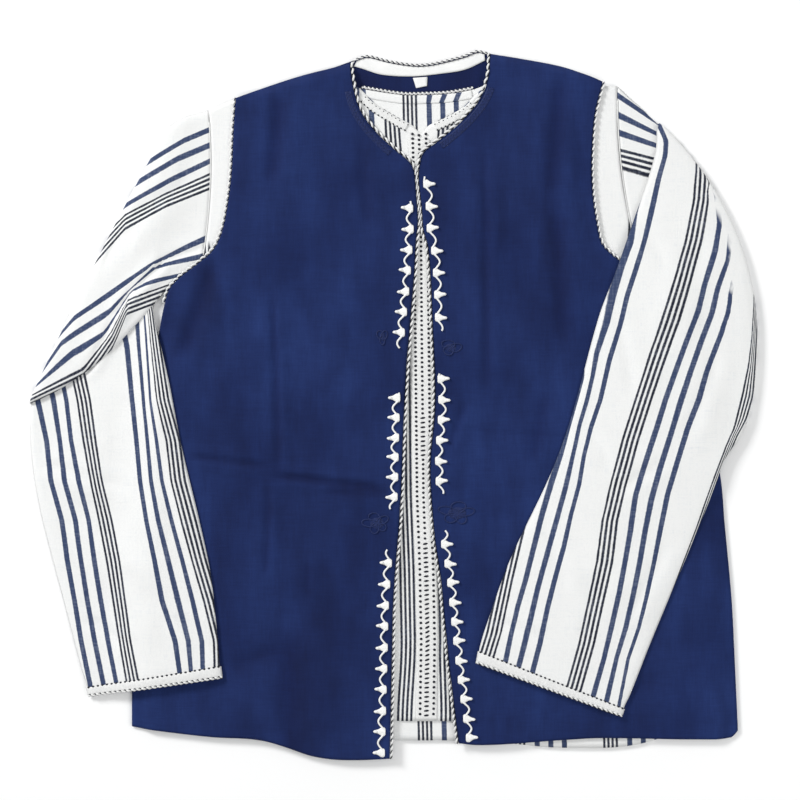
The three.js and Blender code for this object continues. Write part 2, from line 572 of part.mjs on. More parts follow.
// Knots: low lobed domes of wound cord
for (const [name, side, cx, cy, halfX, halfY, lobes, turn] of KNOTS) {
  const mesh = side < 0 ? frontLeft : frontRight;
  const around = 20;
  const rings = [[1, 0], [0.97, 1], [0.6, 2.2]];
  const points = [];
  const faces = [];
  const base = surface(mesh, cx, cy) + 0.5;
  rings.forEach(([reach, rise]) => {
    for (let k = 0; k < around; k += 1) {
      const angle = k / around * 2 * Math.PI;
      const lobe = reach * (1 + 0.22 * Math.cos(lobes * (angle + turn))) / 1.22;
      points.push([cx + halfX * lobe * Math.cos(angle), cy + halfY * lobe * Math.sin(angle), base + rise]);
    }
  });
  const foot = points.length;
  points.push([cx, cy, base], [cx, cy, base + 2.8]);
  for (let k = 0; k < around; k += 1) {
    const n = (k + 1) % around;
    faces.push([foot, n, k], [2 * around + k, 2 * around + n, foot + 1]);
    for (const r of [0, around]) faces.push([r + k, r + n, r + n + around], [r + k, r + n + around, r + k + around]);
  }
  group.add(meshOf(name, points, faces, NAVY_BRAID));
}

// Loops of a flattened sleeve at one section: points of the outer and the inner wall
function sleeveLoop(side, row, rest, inset, half) {
  const [ax, ay, bx, by, bow, share01, centre, puff, lift] = row;
  const length = Math.hypot(bx - ax, by - ay);
  let [nx, ny] = [-(by - ay) / length, (bx - ax) / length];
  if (nx * side < 0) [nx, ny] = [-nx, -ny];
  const under = side < 0;
  const angle = Math.PI * share01;
  const rim = inset / length;
  const us = even(SLEEVE_COLUMNS).map((t) => lerp(rim, 1 - rim, 0.5 - 0.5 * Math.cos(Math.PI * t)));
  const point = (u, n) => {
    const out = bow * 4 * u * (1 - u);
    const [x, y] = [lerp(ax, bx, u) + nx * out, lerp(ay, by, u) + ny * out];
    const ground = share01 > 0 || under ? rest(x, y) * (under ? 1 : share01) : 0;
    const firm = under ? 5.8 : 1.5;
    const far = under ? 1.5 : 7.6;
    const [low, high] = [Math.min(firm, far), Math.max(firm, far)];
    const radius = (high - low) / 2;
    const turn = under ? 1 : -1;
    const rise = foldRise(under ? FOLDS_SLEEVE_LEFT : FOLDS_SLEEVE_RIGHT, x, y);
    if (share01 === 0) {
      return [x, y, centre + n + (under && centre > 5.5 ? ground : 0) + (under && n > 0 ? rise : 0)];
    }
    if (share01 === 1) return [x, y, centre + ground + lift - n + (n < 0 ? rise : 0)];
    const reach = (radius + turn * n) * Math.sin(angle);
    return [x + nx * reach, y + ny * reach, low + radius + ground + turn * (radius + turn * n) * Math.cos(angle)];
  };
  const puffAt = (u) => puff * Math.sin(Math.PI * u) ** 0.8;
  const bulge = (u) => {
    const edge = Math.min(u, 1 - u) * length;
    return half * (1 - (1 - clamp((edge - inset) / 9)) ** 2);
  };
  const top = share01 < 1 ? (u) => bulge(u) + puffAt(u) : (u) => bulge(u);
  const bottom = share01 < 1 ? (u) => bulge(u) : (u) => bulge(u) + puffAt(u);
  const loop = us.map((u) => point(u, top(u)));
  for (let k = SLEEVE_COLUMNS - 1; k > 0; k -= 1) loop.push(point(us[k], -bottom(us[k])));
  return loop;
}

// A closed body between an outer and an inner skin of loops
function tube(name, outer, inner, colour, flip) {
  const n = outer[0].length;
  const points = [...outer.flat(), ...inner.flat()];
  const offset = outer.length * n;
  const faces = [];
  const quad = (a, b, c, d) => {
    if (flip) faces.push([a, c, b], [a, d, c]);
    else faces.push([a, b, c], [a, c, d]);
  };
  for (let i = 0; i + 1 < outer.length; i += 1) {
    for (let k = 0; k < n; k += 1) {
      const m = (k + 1) % n;
      const [a, b, c, d] = [i * n + k, i * n + m, (i + 1) * n + m, (i + 1) * n + k];
      quad(a, b, c, d);
      quad(offset + a, offset + d, offset + c, offset + b);
    }
  }
  const last = (outer.length - 1) * n;
  for (let k = 0; k < n; k += 1) {
    const m = (k + 1) % n;
    quad(k, offset + k, offset + m, m);
    quad(last + k, last + m, offset + last + m, offset + last + k);
  }
  return meshOf(name, points, faces, colour);
}

function sleeve(name, side, table, rest, flip) {
  const outer = table.map((row) => sleeveLoop(side, row, rest, 0, SLEEVE_HALF));
  const inner = table.map((row) => sleeveLoop(side, row, rest, 3, SLEEVE_HALF - SLEEVE_WALL));
  return tube(name, outer, inner, WHITE, flip);
}

// A band round the end of a sleeve, made from the sleeve's own sections moved out
function cuff(name, side, table, rest, flip) {
  const end = table[table.length - 1];
  const before = table[table.length - 2];
  const step = Math.hypot(end[0] - before[0], end[1] - before[1]);
  const back = CUFF_BAND / step;
  const rows = [1, 0.5, 0].map((t) => end.map((value, c) => lerp(value, before[c], t * back)));
  const wider = (row, by) => {
    const length = Math.hypot(row[2] - row[0], row[3] - row[1]);
    const [dx, dy] = [(row[2] - row[0]) / length * by, (row[3] - row[1]) / length * by];
    return [row[0] - dx, row[1] - dy, row[2] + dx, row[3] + dy, ...row.slice(4)];
  };
  const outer = rows.map((row) => sleeveLoop(side, wider(row, 1.6), rest, 0, SLEEVE_HALF + 1.45));
  const inner = rows.map((row) => sleeveLoop(side, wider(row, 0.5), rest, 0, SLEEVE_HALF + 0.4));
  return tube(name, outer, inner, TRIM_WHITE, flip);
}

group.add(sleeve("sleeve_left", -1, SLEEVE_LEFT, restLeft, true));
group.add(sleeve("sleeve_right", 1, SLEEVE_RIGHT, restRight, false));
group.add(cuff("sleeve_cuff_left", -1, SLEEVE_LEFT, restLeft, true));
group.add(cuff("sleeve_cuff_right", 1, SLEEVE_RIGHT, restRight, false));

// The frame's origin sits under the middle of the whole
const box = new THREE.Box3().setFromObject(group);
group.position.set(-(box.min.x + box.max.x) / 2, -(box.min.y + box.max.y) / 2, -box.min.z);

export default group;
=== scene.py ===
# A two-piece outfit laid flat on its back: a navy vest, open down the front, over a white shirt
# with long striped sleeves folded in. Tables and sizes are in millimetres, in the part's own
# layout, and every mesh is moved into the frame and scaled to metres as it is made.
import math

import bpy
import numpy as np
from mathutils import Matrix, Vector


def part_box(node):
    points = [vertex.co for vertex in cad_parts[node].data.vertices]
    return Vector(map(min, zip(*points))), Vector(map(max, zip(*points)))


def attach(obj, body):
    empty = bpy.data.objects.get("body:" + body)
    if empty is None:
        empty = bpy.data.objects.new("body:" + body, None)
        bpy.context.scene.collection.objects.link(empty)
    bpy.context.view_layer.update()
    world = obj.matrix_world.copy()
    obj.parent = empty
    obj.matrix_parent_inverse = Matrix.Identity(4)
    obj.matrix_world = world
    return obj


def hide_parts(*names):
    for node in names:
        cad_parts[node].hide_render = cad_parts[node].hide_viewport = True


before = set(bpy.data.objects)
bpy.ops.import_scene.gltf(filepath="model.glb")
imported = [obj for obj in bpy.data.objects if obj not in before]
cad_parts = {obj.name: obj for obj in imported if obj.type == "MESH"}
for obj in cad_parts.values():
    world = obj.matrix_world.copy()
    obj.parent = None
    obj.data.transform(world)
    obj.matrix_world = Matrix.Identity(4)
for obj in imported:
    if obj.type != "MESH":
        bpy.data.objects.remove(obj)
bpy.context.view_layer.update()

MM = 0.001
LABEL_LEFT = 22.5
LABEL_LOW = 348.0
label_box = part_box("vest_neck_label")
SHIFT = np.array([label_box[0][0] / MM - LABEL_LEFT, label_box[0][1] / MM - LABEL_LOW, 0.0])

# Thicknesses, heights and widths of the layers and trims
WALL = 1.3
VEST_BACK_Z = 0
SHIRT_BACK_Z = 1.7
SHIRT_FRONT_Z = 3.4
VEST_FRONT_Z = 6.3
VEST_SEAM_Z = 1.6
SIDE_SLOPE = 25
SHOULDER_SLOPE = 9
SHOULDER_FADE = 28
HEM_SLOPE = 35
HEM_DROP = 1.5
CORNER_Y = 115
CORNER_SLOPE = 44
CORD_RADIUS = 1.75
CORD_Z = 7.9
CORD_NECK_Z = 3.45
ARMHOLE_CORD_Z = 6.9
CORD_BESIDE = 2.15
TUFT_REACH = 11
NECK_BRAID_IN = 4.2
NECK_BRAID_WIDTH = 8
NECK_BAND_WIDTH = 9
PLACKET_WIDTH = 24
SLEEVE_HALF = 1.5
CUFF_BAND = 11
LEFT_REST = 8.1
RIGHT_REST = 2.2
UNDERARM = ((230, 176), (298.5, 114.5))
UNDERARM_REST = 3.6

# Outlines and lines of cords, as in the part. Columns: x, y
SHOULDER_LEFT = [
    [-172, 336.5], [-143.5, 347.5], [-102, 361], [-69, 369.5], [-47, 375],
]
OUTER_LEFT = [
    [-172, 336.5], [-174.5, 301.5], [-176.5, 257.5], [-181, 219], [-187.5, 189], [-197.5, 168.5],
    [-214, 154], [-234, 138.5], [-245, 126.5], [-249, 115.5], [-254.5, 92.5], [-260, 59.5],
    [-267, 4.5], [-278, -105.5], [-285.5, -215.5], [-287, -325.5], [-287, -355],
]
HEM_LEFT = [
    [-287, -355], [-267, -358.5], [-198.5, -366.5], [-158, -368.5], [-138, -371.5],
    [-115, -378.5], [-90, -387], [-65, -391], [-34.5, -391.5], [-3, -390],
]
SHOULDER_RIGHT = [
    [108, 385.5], [140, 380.5], [184.5, 372], [212, 363], [231, 354.5],
]
OUTER_RIGHT = [
    [231, 354.5], [226.5, 337.5], [222, 318], [219.5, 291.5], [218.5, 259], [220, 229],
    [224.5, 198], [230, 176], [241.5, 163.5], [250.5, 157], [272, 144], [290, 128.5],
    [298.5, 114.5], [303, 101], [312, 76], [327, 45], [338, 21], [360.5, -76],
    [366, -134], [373.5, -215.5], [377.5, -295], [380.5, -359.5],
]
HEM_RIGHT = [
    [73, -373], [93, -375], [127, -374], [183, -370], [230.5, -367.5], [334, -369],
    [373.5, -367], [380.5, -359.5],
]
VEST_BACK_HEM = [
    [-287, -352], [-198.5, -362], [-102, -366.5], [8, -366.5], [71, -366.5], [184.5, -364],
    [334, -364], [380.5, -357.5],
]
FACING_LOWER = [
    [-42.5, 372], [-33.5, 369.5], [-12.5, 363], [21.5, 361], [53.5, 364], [80, 368.5], [102, 378.5],
]
CORD_LEFT = [
    [-44.5, 372], [-42.5, 356.5], [-36, 329], [-22.5, 307], [-3, 287], [9.5, 276.5],
    [18.2, 269.8], [23, 261.5], [25, 246.5], [26.5, 227.5], [28, 208], [28.5, 192.5],
    [27.5, 172.5], [25, 130], [21, 85], [16.5, 26.5], [13.5, -38.5], [10.5, -113.5],
    [3, -215.5], [1.5, -281.5], [-1, -389.5],
]
CORD_RIGHT = [
    [105.5, 380.5], [104, 362], [96.5, 340], [85, 323.5], [69, 307], [52.5, 293.5], [44, 287],
    [36, 281.5], [30.6, 275], [28.4, 265], [28.6, 246.5], [30.5, 227.5], [32.5, 208], [33, 188],
    [37, 172.5], [40, 135.5], [42, 85], [44.5, 31], [44.5, -7.5], [40, -54], [39.5, -83.5],
    [44.5, -148.5], [50.5, -188], [58, -266], [62, -302.5], [71, -372],
]
CORD_BACK = [
    [-40, 379.5], [-28, 383], [-4, 377.5], [21.5, 373.5], [40, 374], [63.5, 379],
    [80, 383.5], [93, 388.5], [101.5, 387],
]
SHIRT_TOP_BACK = [
    [-202, 323.5], [-173, 335.5], [-143.5, 336.5], [-102, 348.5], [-58, 355.5], [-34.5, 347.5],
    [10.5, 340.5], [37, 340.5], [63.5, 342], [89.5, 346.5], [118.5, 356.5], [184.5, 356.5],
    [228.5, 350], [247, 350],
]
SHIRT_TOP_FRONT = [
    [-202, 323.5], [-173, 335.5], [-143.5, 336.5], [-102, 348.5], [-58, 355.5], [-38, 348.5],
    [-19, 331], [6, 315.5], [21.5, 307], [32, 298], [39, 306], [58, 315.5], [77.5, 326.5],
    [94, 343], [118.5, 356.5], [184.5, 356.5], [228.5, 350], [247, 350],
]
SHIRT_SIDE_LEFT = [
    [-202, 323.5], [-199.5, 281], [-200, 238.5], [-203, 196.5], [-209, 154], [-212, 136.5],
    [-220.5, 103.5], [-230.5, 59.5], [-238, 4.5], [-249, -105.5], [-256, -215.5],
    [-258, -325.5], [-258, -339],
]
SHIRT_SIDE_RIGHT = [
    [247, 350], [247.5, 300], [252, 249.5], [261, 199.5], [273, 149.5], [274.5, 131],
    [283, 92.5], [294, 59.5], [312, 4.5], [331.5, -76], [338, -134], [345, -215.5],
    [349, -295], [350.5, -332],
]
SHIRT_HEM_FRONT = [
    [-258, -339], [-179, -343], [-102, -347.5], [-36, -348.5], [28, -349], [59, -349],
    [140, -350], [228.5, -348.5], [294, -343], [350.5, -332],
]
SHIRT_HEM_BACK = [
    [-258, -339], [-179, -350], [-102, -359.5], [-36, -367.5], [8, -370.5], [59, -370.5],
    [124, -373.5], [184.5, -378.5], [263.5, -376], [316, -358.5], [350.5, -332],
]

# Broad folds, as in the part. Columns: x0, y0, x1, y1, width, height
FOLDS_LEFT = [
    [-127, 330, -131, -30, 26, 1.1],
    [-225, -58, -20, -84, 22, 1.1],
    [-139, -95, -144, -230, 24, 1.0],
    [-160, -310, -100, -372, 26, 1.8],
]
FOLDS_RIGHT = [
    [99, 245, 99, 10, 24, 0.9],
    [176, 355, 172, 90, 26, 1.5],
]
FOLDS_SLEEVE_LEFT = [
    [-262, 156, -326, 54, 11, 2.0],
    [-392, -76, -306, -104, 15, 1.5],
    [-268, 2, -250, -52, 10, 1.3],
    [-330, -150, -262, -196, 18, 1.2],
]
FOLDS_SLEEVE_RIGHT = [
    [335, 208, 272, -18, 18, 1.4],
    [222, -44, 292, -78, 17, 1.4],
    [180, -168, 270, -212, 18, 1.2],
]

# White braids: node, side, y of the first and of the last tuft, number of tufts, distance from the
# edge at the first and at the last, and how far the cord goes on above and below them
BRAIDS = [
    ["braid_left_1", -1, 215, 78.5, 7, 5.0, 7.0, 8.5, 18],
    ["braid_left_2", -1, 6.6, -102, 6, 7.0, 5.6, 6.5, 14.5],
    ["braid_left_3", -1, -175, -383.5, 10, 6.6, 7.6, 15.5, 5.2],
    ["braid_right_1", 1, 242, 95.5, 7, 5.0, 5.2, 8.5, 16.5],
    ["braid_right_2", 1, 27.5, -85, 6, 5.0, 8.0, 6.5, 15],
    ["braid_right_3", 1, -154, -367, 11, 8.4, 10.4, 15.5, 5.4],
]

# Knots: node, side, middle x and y, half sizes, lobes, turn
KNOTS = [
    ["knot_left_upper", -1, -11, 74, 6, 9, 3, 0.5],
    ["knot_right_upper", 1, 64, 62, 12, 9, 3, 0.0],
    ["knot_left_lower", -1, -17, -131, 15, 12, 5, 0.6],
    ["knot_right_lower", 1, 71, -120, 20, 13, 5, 0.2],
]

# Sections across the sleeves: x and y of both edges, bow, share of the fold, height of the middle,
# puff and lift
SLEEVE_LEFT = [
    [-202.8, 323.5, -209.8, 154, -5.5, 0, 3.2, 0, 0],
    [-214, 320, -242.5, 132, -3.3, 0, 4.0, 0.6, 0],
    [-225, 317, -276.5, 93.5, 0, 0, 5.4, 1.4, 0],
    [-234, 312.5, -319.5, 49.5, 2.2, 0, 5.8, 2.0, 0],
    [-239.5, 309, -363.5, 17.5, 3.3, 0, 5.8, 1.2, 0],
    [-241, 307.5, -386, 6, 3.5, 0, 5.8, 0.5, 0],
    [-242.5, 306, -396.5, 0, 3.9, 0.25, 5.8, 0, 0],
    [-242.5, 306, -397.5, 0, 3.9, 0.5, 5.8, 0, 0],
    [-242.5, 306, -397.5, 0, 3.9, 0.75, 5.8, 0, 0],
    [-243.5, 297, -398, -4, 3.5, 1, 1.5, 0, 0],
    [-254.5, 235.5, -399.5, -23, 1.1, 1, 1.5, 0, 0],
    [-263.5, 164, -399, -39.5, 0, 1, 1.5, 0, 0],
    [-262.5, 101, -397.5, -59.5, 0, 1, 1.5, 1.2, 0],
    [-253.5, 59.5, -394.5, -83.5, 0, 1, 1.5, 2.4, 0],
    [-245, 22, -389, -114.5, 0, 1, 1.5, 3.0, 0],
    [-233, -40.5, -380, -152, 0, 1, 1.5, 2.6, 0],
    [-212, -128.5, -363, -215.5, 0, 1, 1.5, 3.2, 0],
    [-199.5, -188, -353.5, -252, 0, 1, 1.5, 2.2, 0.2],
    [-191.5, -262, -341.5, -296, 0, 1, 1.5, 2.0, 1.0],
    [-190, -281, -337.5, -307, 0, 1, 1.5, 1.6, 1.6],
    [-188, -299, -334, -320, 0, 1, 1.5, 1.4, 1.6],
]
SLEEVE_RIGHT = [
    [247.8, 350, 274.3, 149.5, -7.7, 0, 3.2, 0, 0],
    [259, 339, 292, 143, -3.3, 0, 3.0, 0, 0],
    [272, 328, 320.5, 110, 4.4, 0, 2.2, 0, 0],
    [283, 317, 351.5, 50.5, 19.8, 0, 1.5, 0, 0],
    [289, 311.5, 373.5, 0, 37.4, 0, 1.5, 0, 0],
    [290.5, 309, 384, -20, 47, 0, 1.5, 0, 0],
    [291, 308, 386, -23, 48.2, 0.25, 7.6, 0, 0],
    [291, 308, 386.5, -23, 48.4, 0.5, 7.6, 0, 0],
    [291, 308, 386, -23, 48.2, 0.75, 7.6, 0, 0],
    [290.5, 300, 385, -28, 47, 1, 7.6, 0.4, 0],
    [289, 277, 380, -39.5, 41.8, 1, 7.6, 1.6, 0],
    [279, 242, 372.5, -49.5, 33, 1, 7.6, 2.6, 0],
    [263.5, 198, 363.5, -64, 22, 1, 7.6, 3.2, 0],
    [245, 145, 357, -83.5, 12.1, 1, 7.6, 3.4, 0],
    [226.5, 95.5, 347, -109, 5.5, 1, 7.6, 3.4, 0],
    [196.5, -14, 320.5, -174, 0, 1, 7.6, 2.8, 0],
    [174, -76, 307.5, -204.5, 0, 1, 7.6, 3.4, 0],
    [129, -171.5, 282, -266, 0, 1, 7.6, 3.0, 0],
    [103, -243, 261, -319, 0, 1, 7.6, 2.0, 1.0],
    [96, -266, 255, -331, 0, 1, 7.6, 1.6, 1.6],
    [93, -282.5, 251.5, -341, 0, 1, 7.6, 1.4, 1.6],
]

# Sizes of the modelled cloth and of its trims
CLOTH = 0.9
GRID = 3.6
HIDDEN_GRID = 7.0
GAP = 0.25
CREASE_DEPTH = 1.4
LABEL_ROWS = [[LABEL_LEFT, 359.2, 38.5, 360.4], [26, LABEL_LOW, 38, 350.5]]
RIBBON_THICK = 0.9
BAND_THICK = 0.8
BACK_BAND_THICK = 0.45
SPINE_RADIUS = 1.05
SPINE_SWING = 6.6
KNOB_RADIUS = 2.0
CORD_LEAD_NECK = 8.0
CORD_LEAD = 6.6
ARMHOLE_LEAD = (7.7, 6.4)
ARMHOLE_SHARE = 0.327
BACK_CORD_RADIUS = 0.74 * CORD_RADIUS
BACK_CORD_LEAD = 5.6
NECK_CORD_RADIUS = 1.8
NECK_CORD_LEAD = 4.6
NECK_CORD_Z = 3.0
EDGING_RADIUS = 1.65
EDGING_LEAD = 5.8
SEAM_RADIUS = 0.65
PLAIT_RADIUS = 0.55
PLAIT_LEAD = 12.0
KNOT_CORD_RADIUS = 0.75
# Half sizes along and across, and height, of the black stitches
DASH = (1.75, 1.55, 0.7)
WIDE_DASH = (3.1, 1.25, 0.7)
CUFF_DASH = (1.5, 1.15, 0.6)
DOT_STEP = 5.0
DOT = (1.15, 0.95, 0.6)

# The stripes' repeat: 3 blue and 4 thin black stripes, as shares of the period
PERIOD = 102.0
BLUE = [0.080, 0.227, 0.374]
THIN = [0.514, 0.559, 0.604, 0.649]
BLUE_HALF = 0.0255
THIN_HALF = 0.0104
STRIPE_EDGE = 0.0045

# Charted lines of the stripes on the sleeves: place in the repeat, then x and y along the line
LEFT_FOREARM_ROWS = [
    (103, (-416, -398, -383, -371, -358, -302, -281, -273, -270, -262)),
    (65, (-405, -387, -372, -360, -347, -292, -279, -270, -266, -256)),
    (4, (-391, -373, -359, -347, -333, -286, -273, -266, -259, -246)),
    (-40, (-381, -366, -354, -340, -327, -281, -269, -259, -248, -234)),
    (-84, (-376, -361, -345, -332, -320, -277, -265, -253, -243, -228)),
    (-128, (-364, -349, -334, -323, -309, -270, -257, -242, -232, -216)),
    (-172, (-358, -343, -328, -314, -300, -261, -246, -230, -220, -205)),
    (-216, (-350, -336, -321, -307, -294, -253, -235, -219, -207, -192)),
    (-260, (-343, -328, -313, -300, -288, -238, -224, -209, -196, -182)),
    (-294, (-336, -321, -306, -294, -281, -233, -221, -208, -195, -181)),
]
LEFT_UPPER_LINES = [
    (BLUE[0], [(-204, 301), (-229, 290), (-262, 270)]),
    (BLUE[1], [(-201, 285), (-236, 270), (-277, 246)]),
    (BLUE[2], [(-199, 268), (-243, 246), (-291, 219)]),
    (THIN[0], [(-199, 254), (-248, 232), (-294, 208), (-317, 185)]),
    (THIN[3], [(-199, 238), (-248, 218), (-294, 193), (-316, 168)]),
    (BLUE[0] + 1, [
        (-204, 183), (-225, 173), (-266, 151), (-285, 138), (-350, 95), (-366, 76),
    ]),
    (BLUE[1] + 1, [
        (-211, 162), (-248, 155), (-262, 151), (-299, 114), (-310, 102), (-364, 68), (-376, 50),
    ]),
    (BLUE[2] + 1, [
        (-228, 142), (-271, 132), (-287, 125), (-317, 76), (-352, 56), (-387, 25),
    ]),
    (THIN[0] + 1, [
        (-248, 131), (-292, 114), (-308, 81), (-324, 59), (-340, 38), (-393, 12),
    ]),
    (THIN[3] + 1, [
        (-248, 116), (-292, 99), (-306, 65), (-318, 47), (-335, 24), (-393, -2),
    ]),
]
RIGHT_UPPER_LINES = [
    (BLUE[0], [(257, 334), (283, 316)]),
    (BLUE[1], [(252, 316), (288, 299)]),
    (BLUE[2], [(254, 297), (290, 285)]),
    (THIN[0], [(252, 279), (285, 271)]),
    (THIN[3], [(252, 261), (281, 253)]),
    (BLUE[0] + 1, [(240, 150), (300, 128)]),
]
RIGHT_FOREARM_LINES = [
    (THIN[0] - 1, [
        (407, 230), (406, 190), (404, 150), (402, 110), (399.5, 71), (398, 42), (396, 9), (388, -17),
        (378, -35), (371, -52), (361, -77), (351, -105), (339, -139), (306, -225), (268, -341),
    ]),
    (THIN[3] - 1, [
        (401, 230), (400, 190), (399, 150), (397.5, 110), (395, 71), (391.5, 42), (384.5, 9),
        (376, -26), (367, -46), (355, -77), (345, -105), (333, -139), (300, -225), (262, -341),
    ]),
    (BLUE[0], [
        (376, 140), (372, 123), (370, 103), (360, 73), (345, 36), (336, 4), (324, -25), (313, -61),
        (302, -98), (294, -139), (287, -176), (279, -213), (271, -245), (259, -280), (249, -333),
    ]),
    (BLUE[1], [
        (371, 190), (370, 175), (369, 158), (357, 128), (350, 99), (338, 68), (326, 34), (316, 4),
        (306, -31), (293, -72), (284, -105), (277, -139), (271, -174), (264, -209), (256, -245),
        (246, -278), (234, -329),
    ]),
    (BLUE[2], [
        (355, 224), (358, 211), (360, 199), (355, 170), (343, 132), (336, 103), (321, 65), (309, 32),
        (299, 4), (290, -25), (276, -67), (266, -100), (261, -139), (255, -172), (248, -209),
        (241, -241), (232, -280), (219, -324),
    ]),
    (THIN[0], [
        (350, 262), (347, 224), (339, 180), (327, 136), (314, 92), (298, 48), (283, 4), (269, -40),
        (257, -84), (246, -128), (241, -172), (231, -216), (221, -262), (208, -308),
    ]),
    (THIN[3], [
        (334, 262), (331, 224), (322, 180), (309, 136), (295, 92), (280, 48), (266, 4), (252, -40),
        (240, -84), (230, -128), (224, -172), (215, -216), (205, -262), (192, -308),
    ]),
    (BLUE[0] + 1, [
        (292, 309), (301, 289), (300, 273), (293, 249), (285, 213), (278, 185), (267, 148), (257, 118),
        (250, 87), (238, 48), (228, 4), (218, -25), (210, -56), (205, -88), (196, -121), (188, -157),
        (178, -193), (170, -224), (162, -262), (153, -297),
    ]),
    (BLUE[1] + 1, [
        (276, 312), (285, 290), (284, 272), (276, 248), (266, 211), (262, 177), (252, 151), (244, 123),
        (236, 89), (224, 56), (219, 30), (213, 4), (205, -23), (200, -48), (190, -92), (181, -125),
        (169, -167), (160, -199), (152, -234), (144, -266), (137, -292),
    ]),
    (BLUE[2] + 1, [
        (192, -31), (185, -56), (174, -88), (164, -121), (155, -157), (146, -193), (137, -222),
        (129, -255), (123, -287),
    ]),
    (THIN[0] + 1, [(146, -130), (131, -193), (119, -251), (110, -280)]),
    (THIN[3] + 1, [(131, -130), (117, -193), (104, -251), (95, -280)]),
]

# Outline of a tuft: share of its reach, and half its height there
TUFT_OUTLINE = ((0, 0.08, 0.22, 0.42, 0.6, 0.78, 1), (3.2, 4.5, 5.0, 4.7, 3.4, 2.2, 1.8))

# Sharp creases of the cloth; on the vest fronts they also set the painted shade. Columns: x0, y0, x1, y1,
# width, depth, bend
CREASES_LEFT = [
    (-126, 342, -135, 241, 8.5, 1.6, 2), (-36, 295, -29, 191, 6.0, 1.0, 2),
    (-134, 129, -126, -80, 3.4, 1.3, 2), (-138, -84, -141, -190, 3.2, 1.2, 2),
    (-225, -58, -137, -69, 3.4, 1.1, 1), (-134, -80, -6, -94, 3.4, 1.7, 2),
    (-78, -97, -4, -99, 4.4, 1.3, 1), (-94, -171, -94, -216, 3.0, 0.9, 1),
    (-198, 160, -236, 50, 9.0, 1.7, 4), (-120, -245, -114, -405, 15.0, 1.8, 5),
    (-178, -293, -124, -271, 8.0, 1.0, 3), (-180, 40, -160, -20, 6.0, 0.5, 3),
]
CREASES_RIGHT = [
    (100, 274, 102, 5, 4.6, 1.3, 2), (187, 363, 176, 222, 9.0, 1.8, -2),
    (176, 226, 186, 60, 9.0, 1.8, 3), (80, 5, 58, -51, 3.6, 1.1, 2),
    (60, -29, 200, -39, 4.0, 0.35, 3), (164, 10, 150, -65, 7.0, 1.2, 3),
    (150, -120, 165, -260, 6.0, 0.6, 5), (230, -330, 300, -300, 7.0, 0.6, 4),
    (130, -180, 250, -215, 7.0, 0.5, 5), (200, 330, 206, 230, 6.0, 0.5, 3),
    (110, -290, 128, -365, 6.0, 0.7, 4),
]
CREASES_SHIRT = [
    (-10, 345, 6, 318, 3.0, 0.5, 1), (70, 345, 60, 318, 3.0, 0.5, 1),
    (52, -250, 46, -340, 3.0, 0.5, 2), (18, 40, 16, -60, 4.0, 0.4, 2),
]
CREASES_SLEEVE_LEFT = [
    (-206, 174, -250, 160, 3.4, 1.2, 2), (-250, 160, -287, 125, 3.4, 1.8, 3),
    (-287, 125, -308, 96, 3.2, 1.9, 2), (-308, 96, -340, 33, 3.4, 1.6, 4),
    (-222, 250, -300, 205, 7.0, 0.8, 5), (-262, 222, -342, 150, 8.0, 0.8, 6),
    (-388, -68, -300, -94, 4.0, 1.0, 4), (-300, 10, -262, -40, 5.0, 0.8, 3),
    (-366, -140, -330, -215, 5.0, 0.8, 4), (-262, -60, -240, -150, 6.0, 0.8, 5),
    (-300, -180, -245, -250, 6.0, 0.9, 5), (-350, 20, -330, -50, 6.0, 0.7, 4),
    (-340, -236, -288, -270, 5.0, 0.8, 3), (-240, -232, -205, -276, 5.0, 0.7, 3),
]
CREASES_SLEEVE_RIGHT = [
    (262, 205, 300, 150, 6.0, 0.8, 4), (340, 190, 296, 60, 6.5, 0.9, 6),
    (356, 60, 318, -40, 6.0, 0.8, 5), (240, 110, 262, 10, 6.0, 0.8, 5),
    (206, -20, 238, -66, 5.0, 1.0, 4), (298, -60, 240, -96, 5.0, 1.0, 4),
    (300, -150, 256, -236, 6.0, 0.8, 5), (160, -120, 190, -210, 6.0, 0.9, 5),
    (232, -180, 206, -262, 6.0, 0.8, 5), (116, -240, 168, -262, 5.0, 0.7, 3),
    (272, 286, 300, 270, 4.0, 0.6, 2),
]


# Small helpers
def lerp(a, b, t):
    return a + (b - a) * t


def smooth(a, b, t):
    s = np.clip((t - a) / (b - a), 0, 1)
    return s * s * (3 - 2 * s)


def share(table, axis, value):
    return (value - table[0][axis]) / (table[-1][axis] - table[0][axis])


def hermite(knots, values, t):
    """Smooth values at t through the given ones, with even slopes at each knot."""
    n = len(knots)
    lo = np.maximum(np.arange(n) - 1, 0)
    hi = np.minimum(np.arange(n) + 1, n - 1)
    slopes = (values[hi] - values[lo]) / (knots[hi] - knots[lo])[:, None]
    i = np.clip(np.searchsorted(knots, t, side="left") - 1, 0, n - 2)
    span = (knots[i + 1] - knots[i])[..., None]
    h = ((t - knots[i]) / (knots[i + 1] - knots[i]))[..., None]
    return ((2 * h**3 - 3 * h**2 + 1) * values[i] + (h**3 - 2 * h**2 + h) * span * slopes[i]
            + (3 * h**2 - 2 * h**3) * values[i + 1] + (h**3 - h**2) * span * slopes[i + 1])


def curve(table, axis):
    """A smooth curve through a table, walked by the share of its run along x (0) or y (1)."""
    points = np.array(table, float)
    knots = (points[:, axis] - points[0, axis]) / (points[-1, axis] - points[0, axis])
    return lambda t: hermite(knots, points, np.clip(np.asarray(t, float), 0, 1))


def normals_of(points):
    """Unit normals to the left of the direction of travel along a flat line of points."""
    step = np.gradient(points, axis=0)
    step /= np.linalg.norm(step, axis=1)[:, None]
    return np.stack([-step[:, 1], step[:, 0]], axis=1)


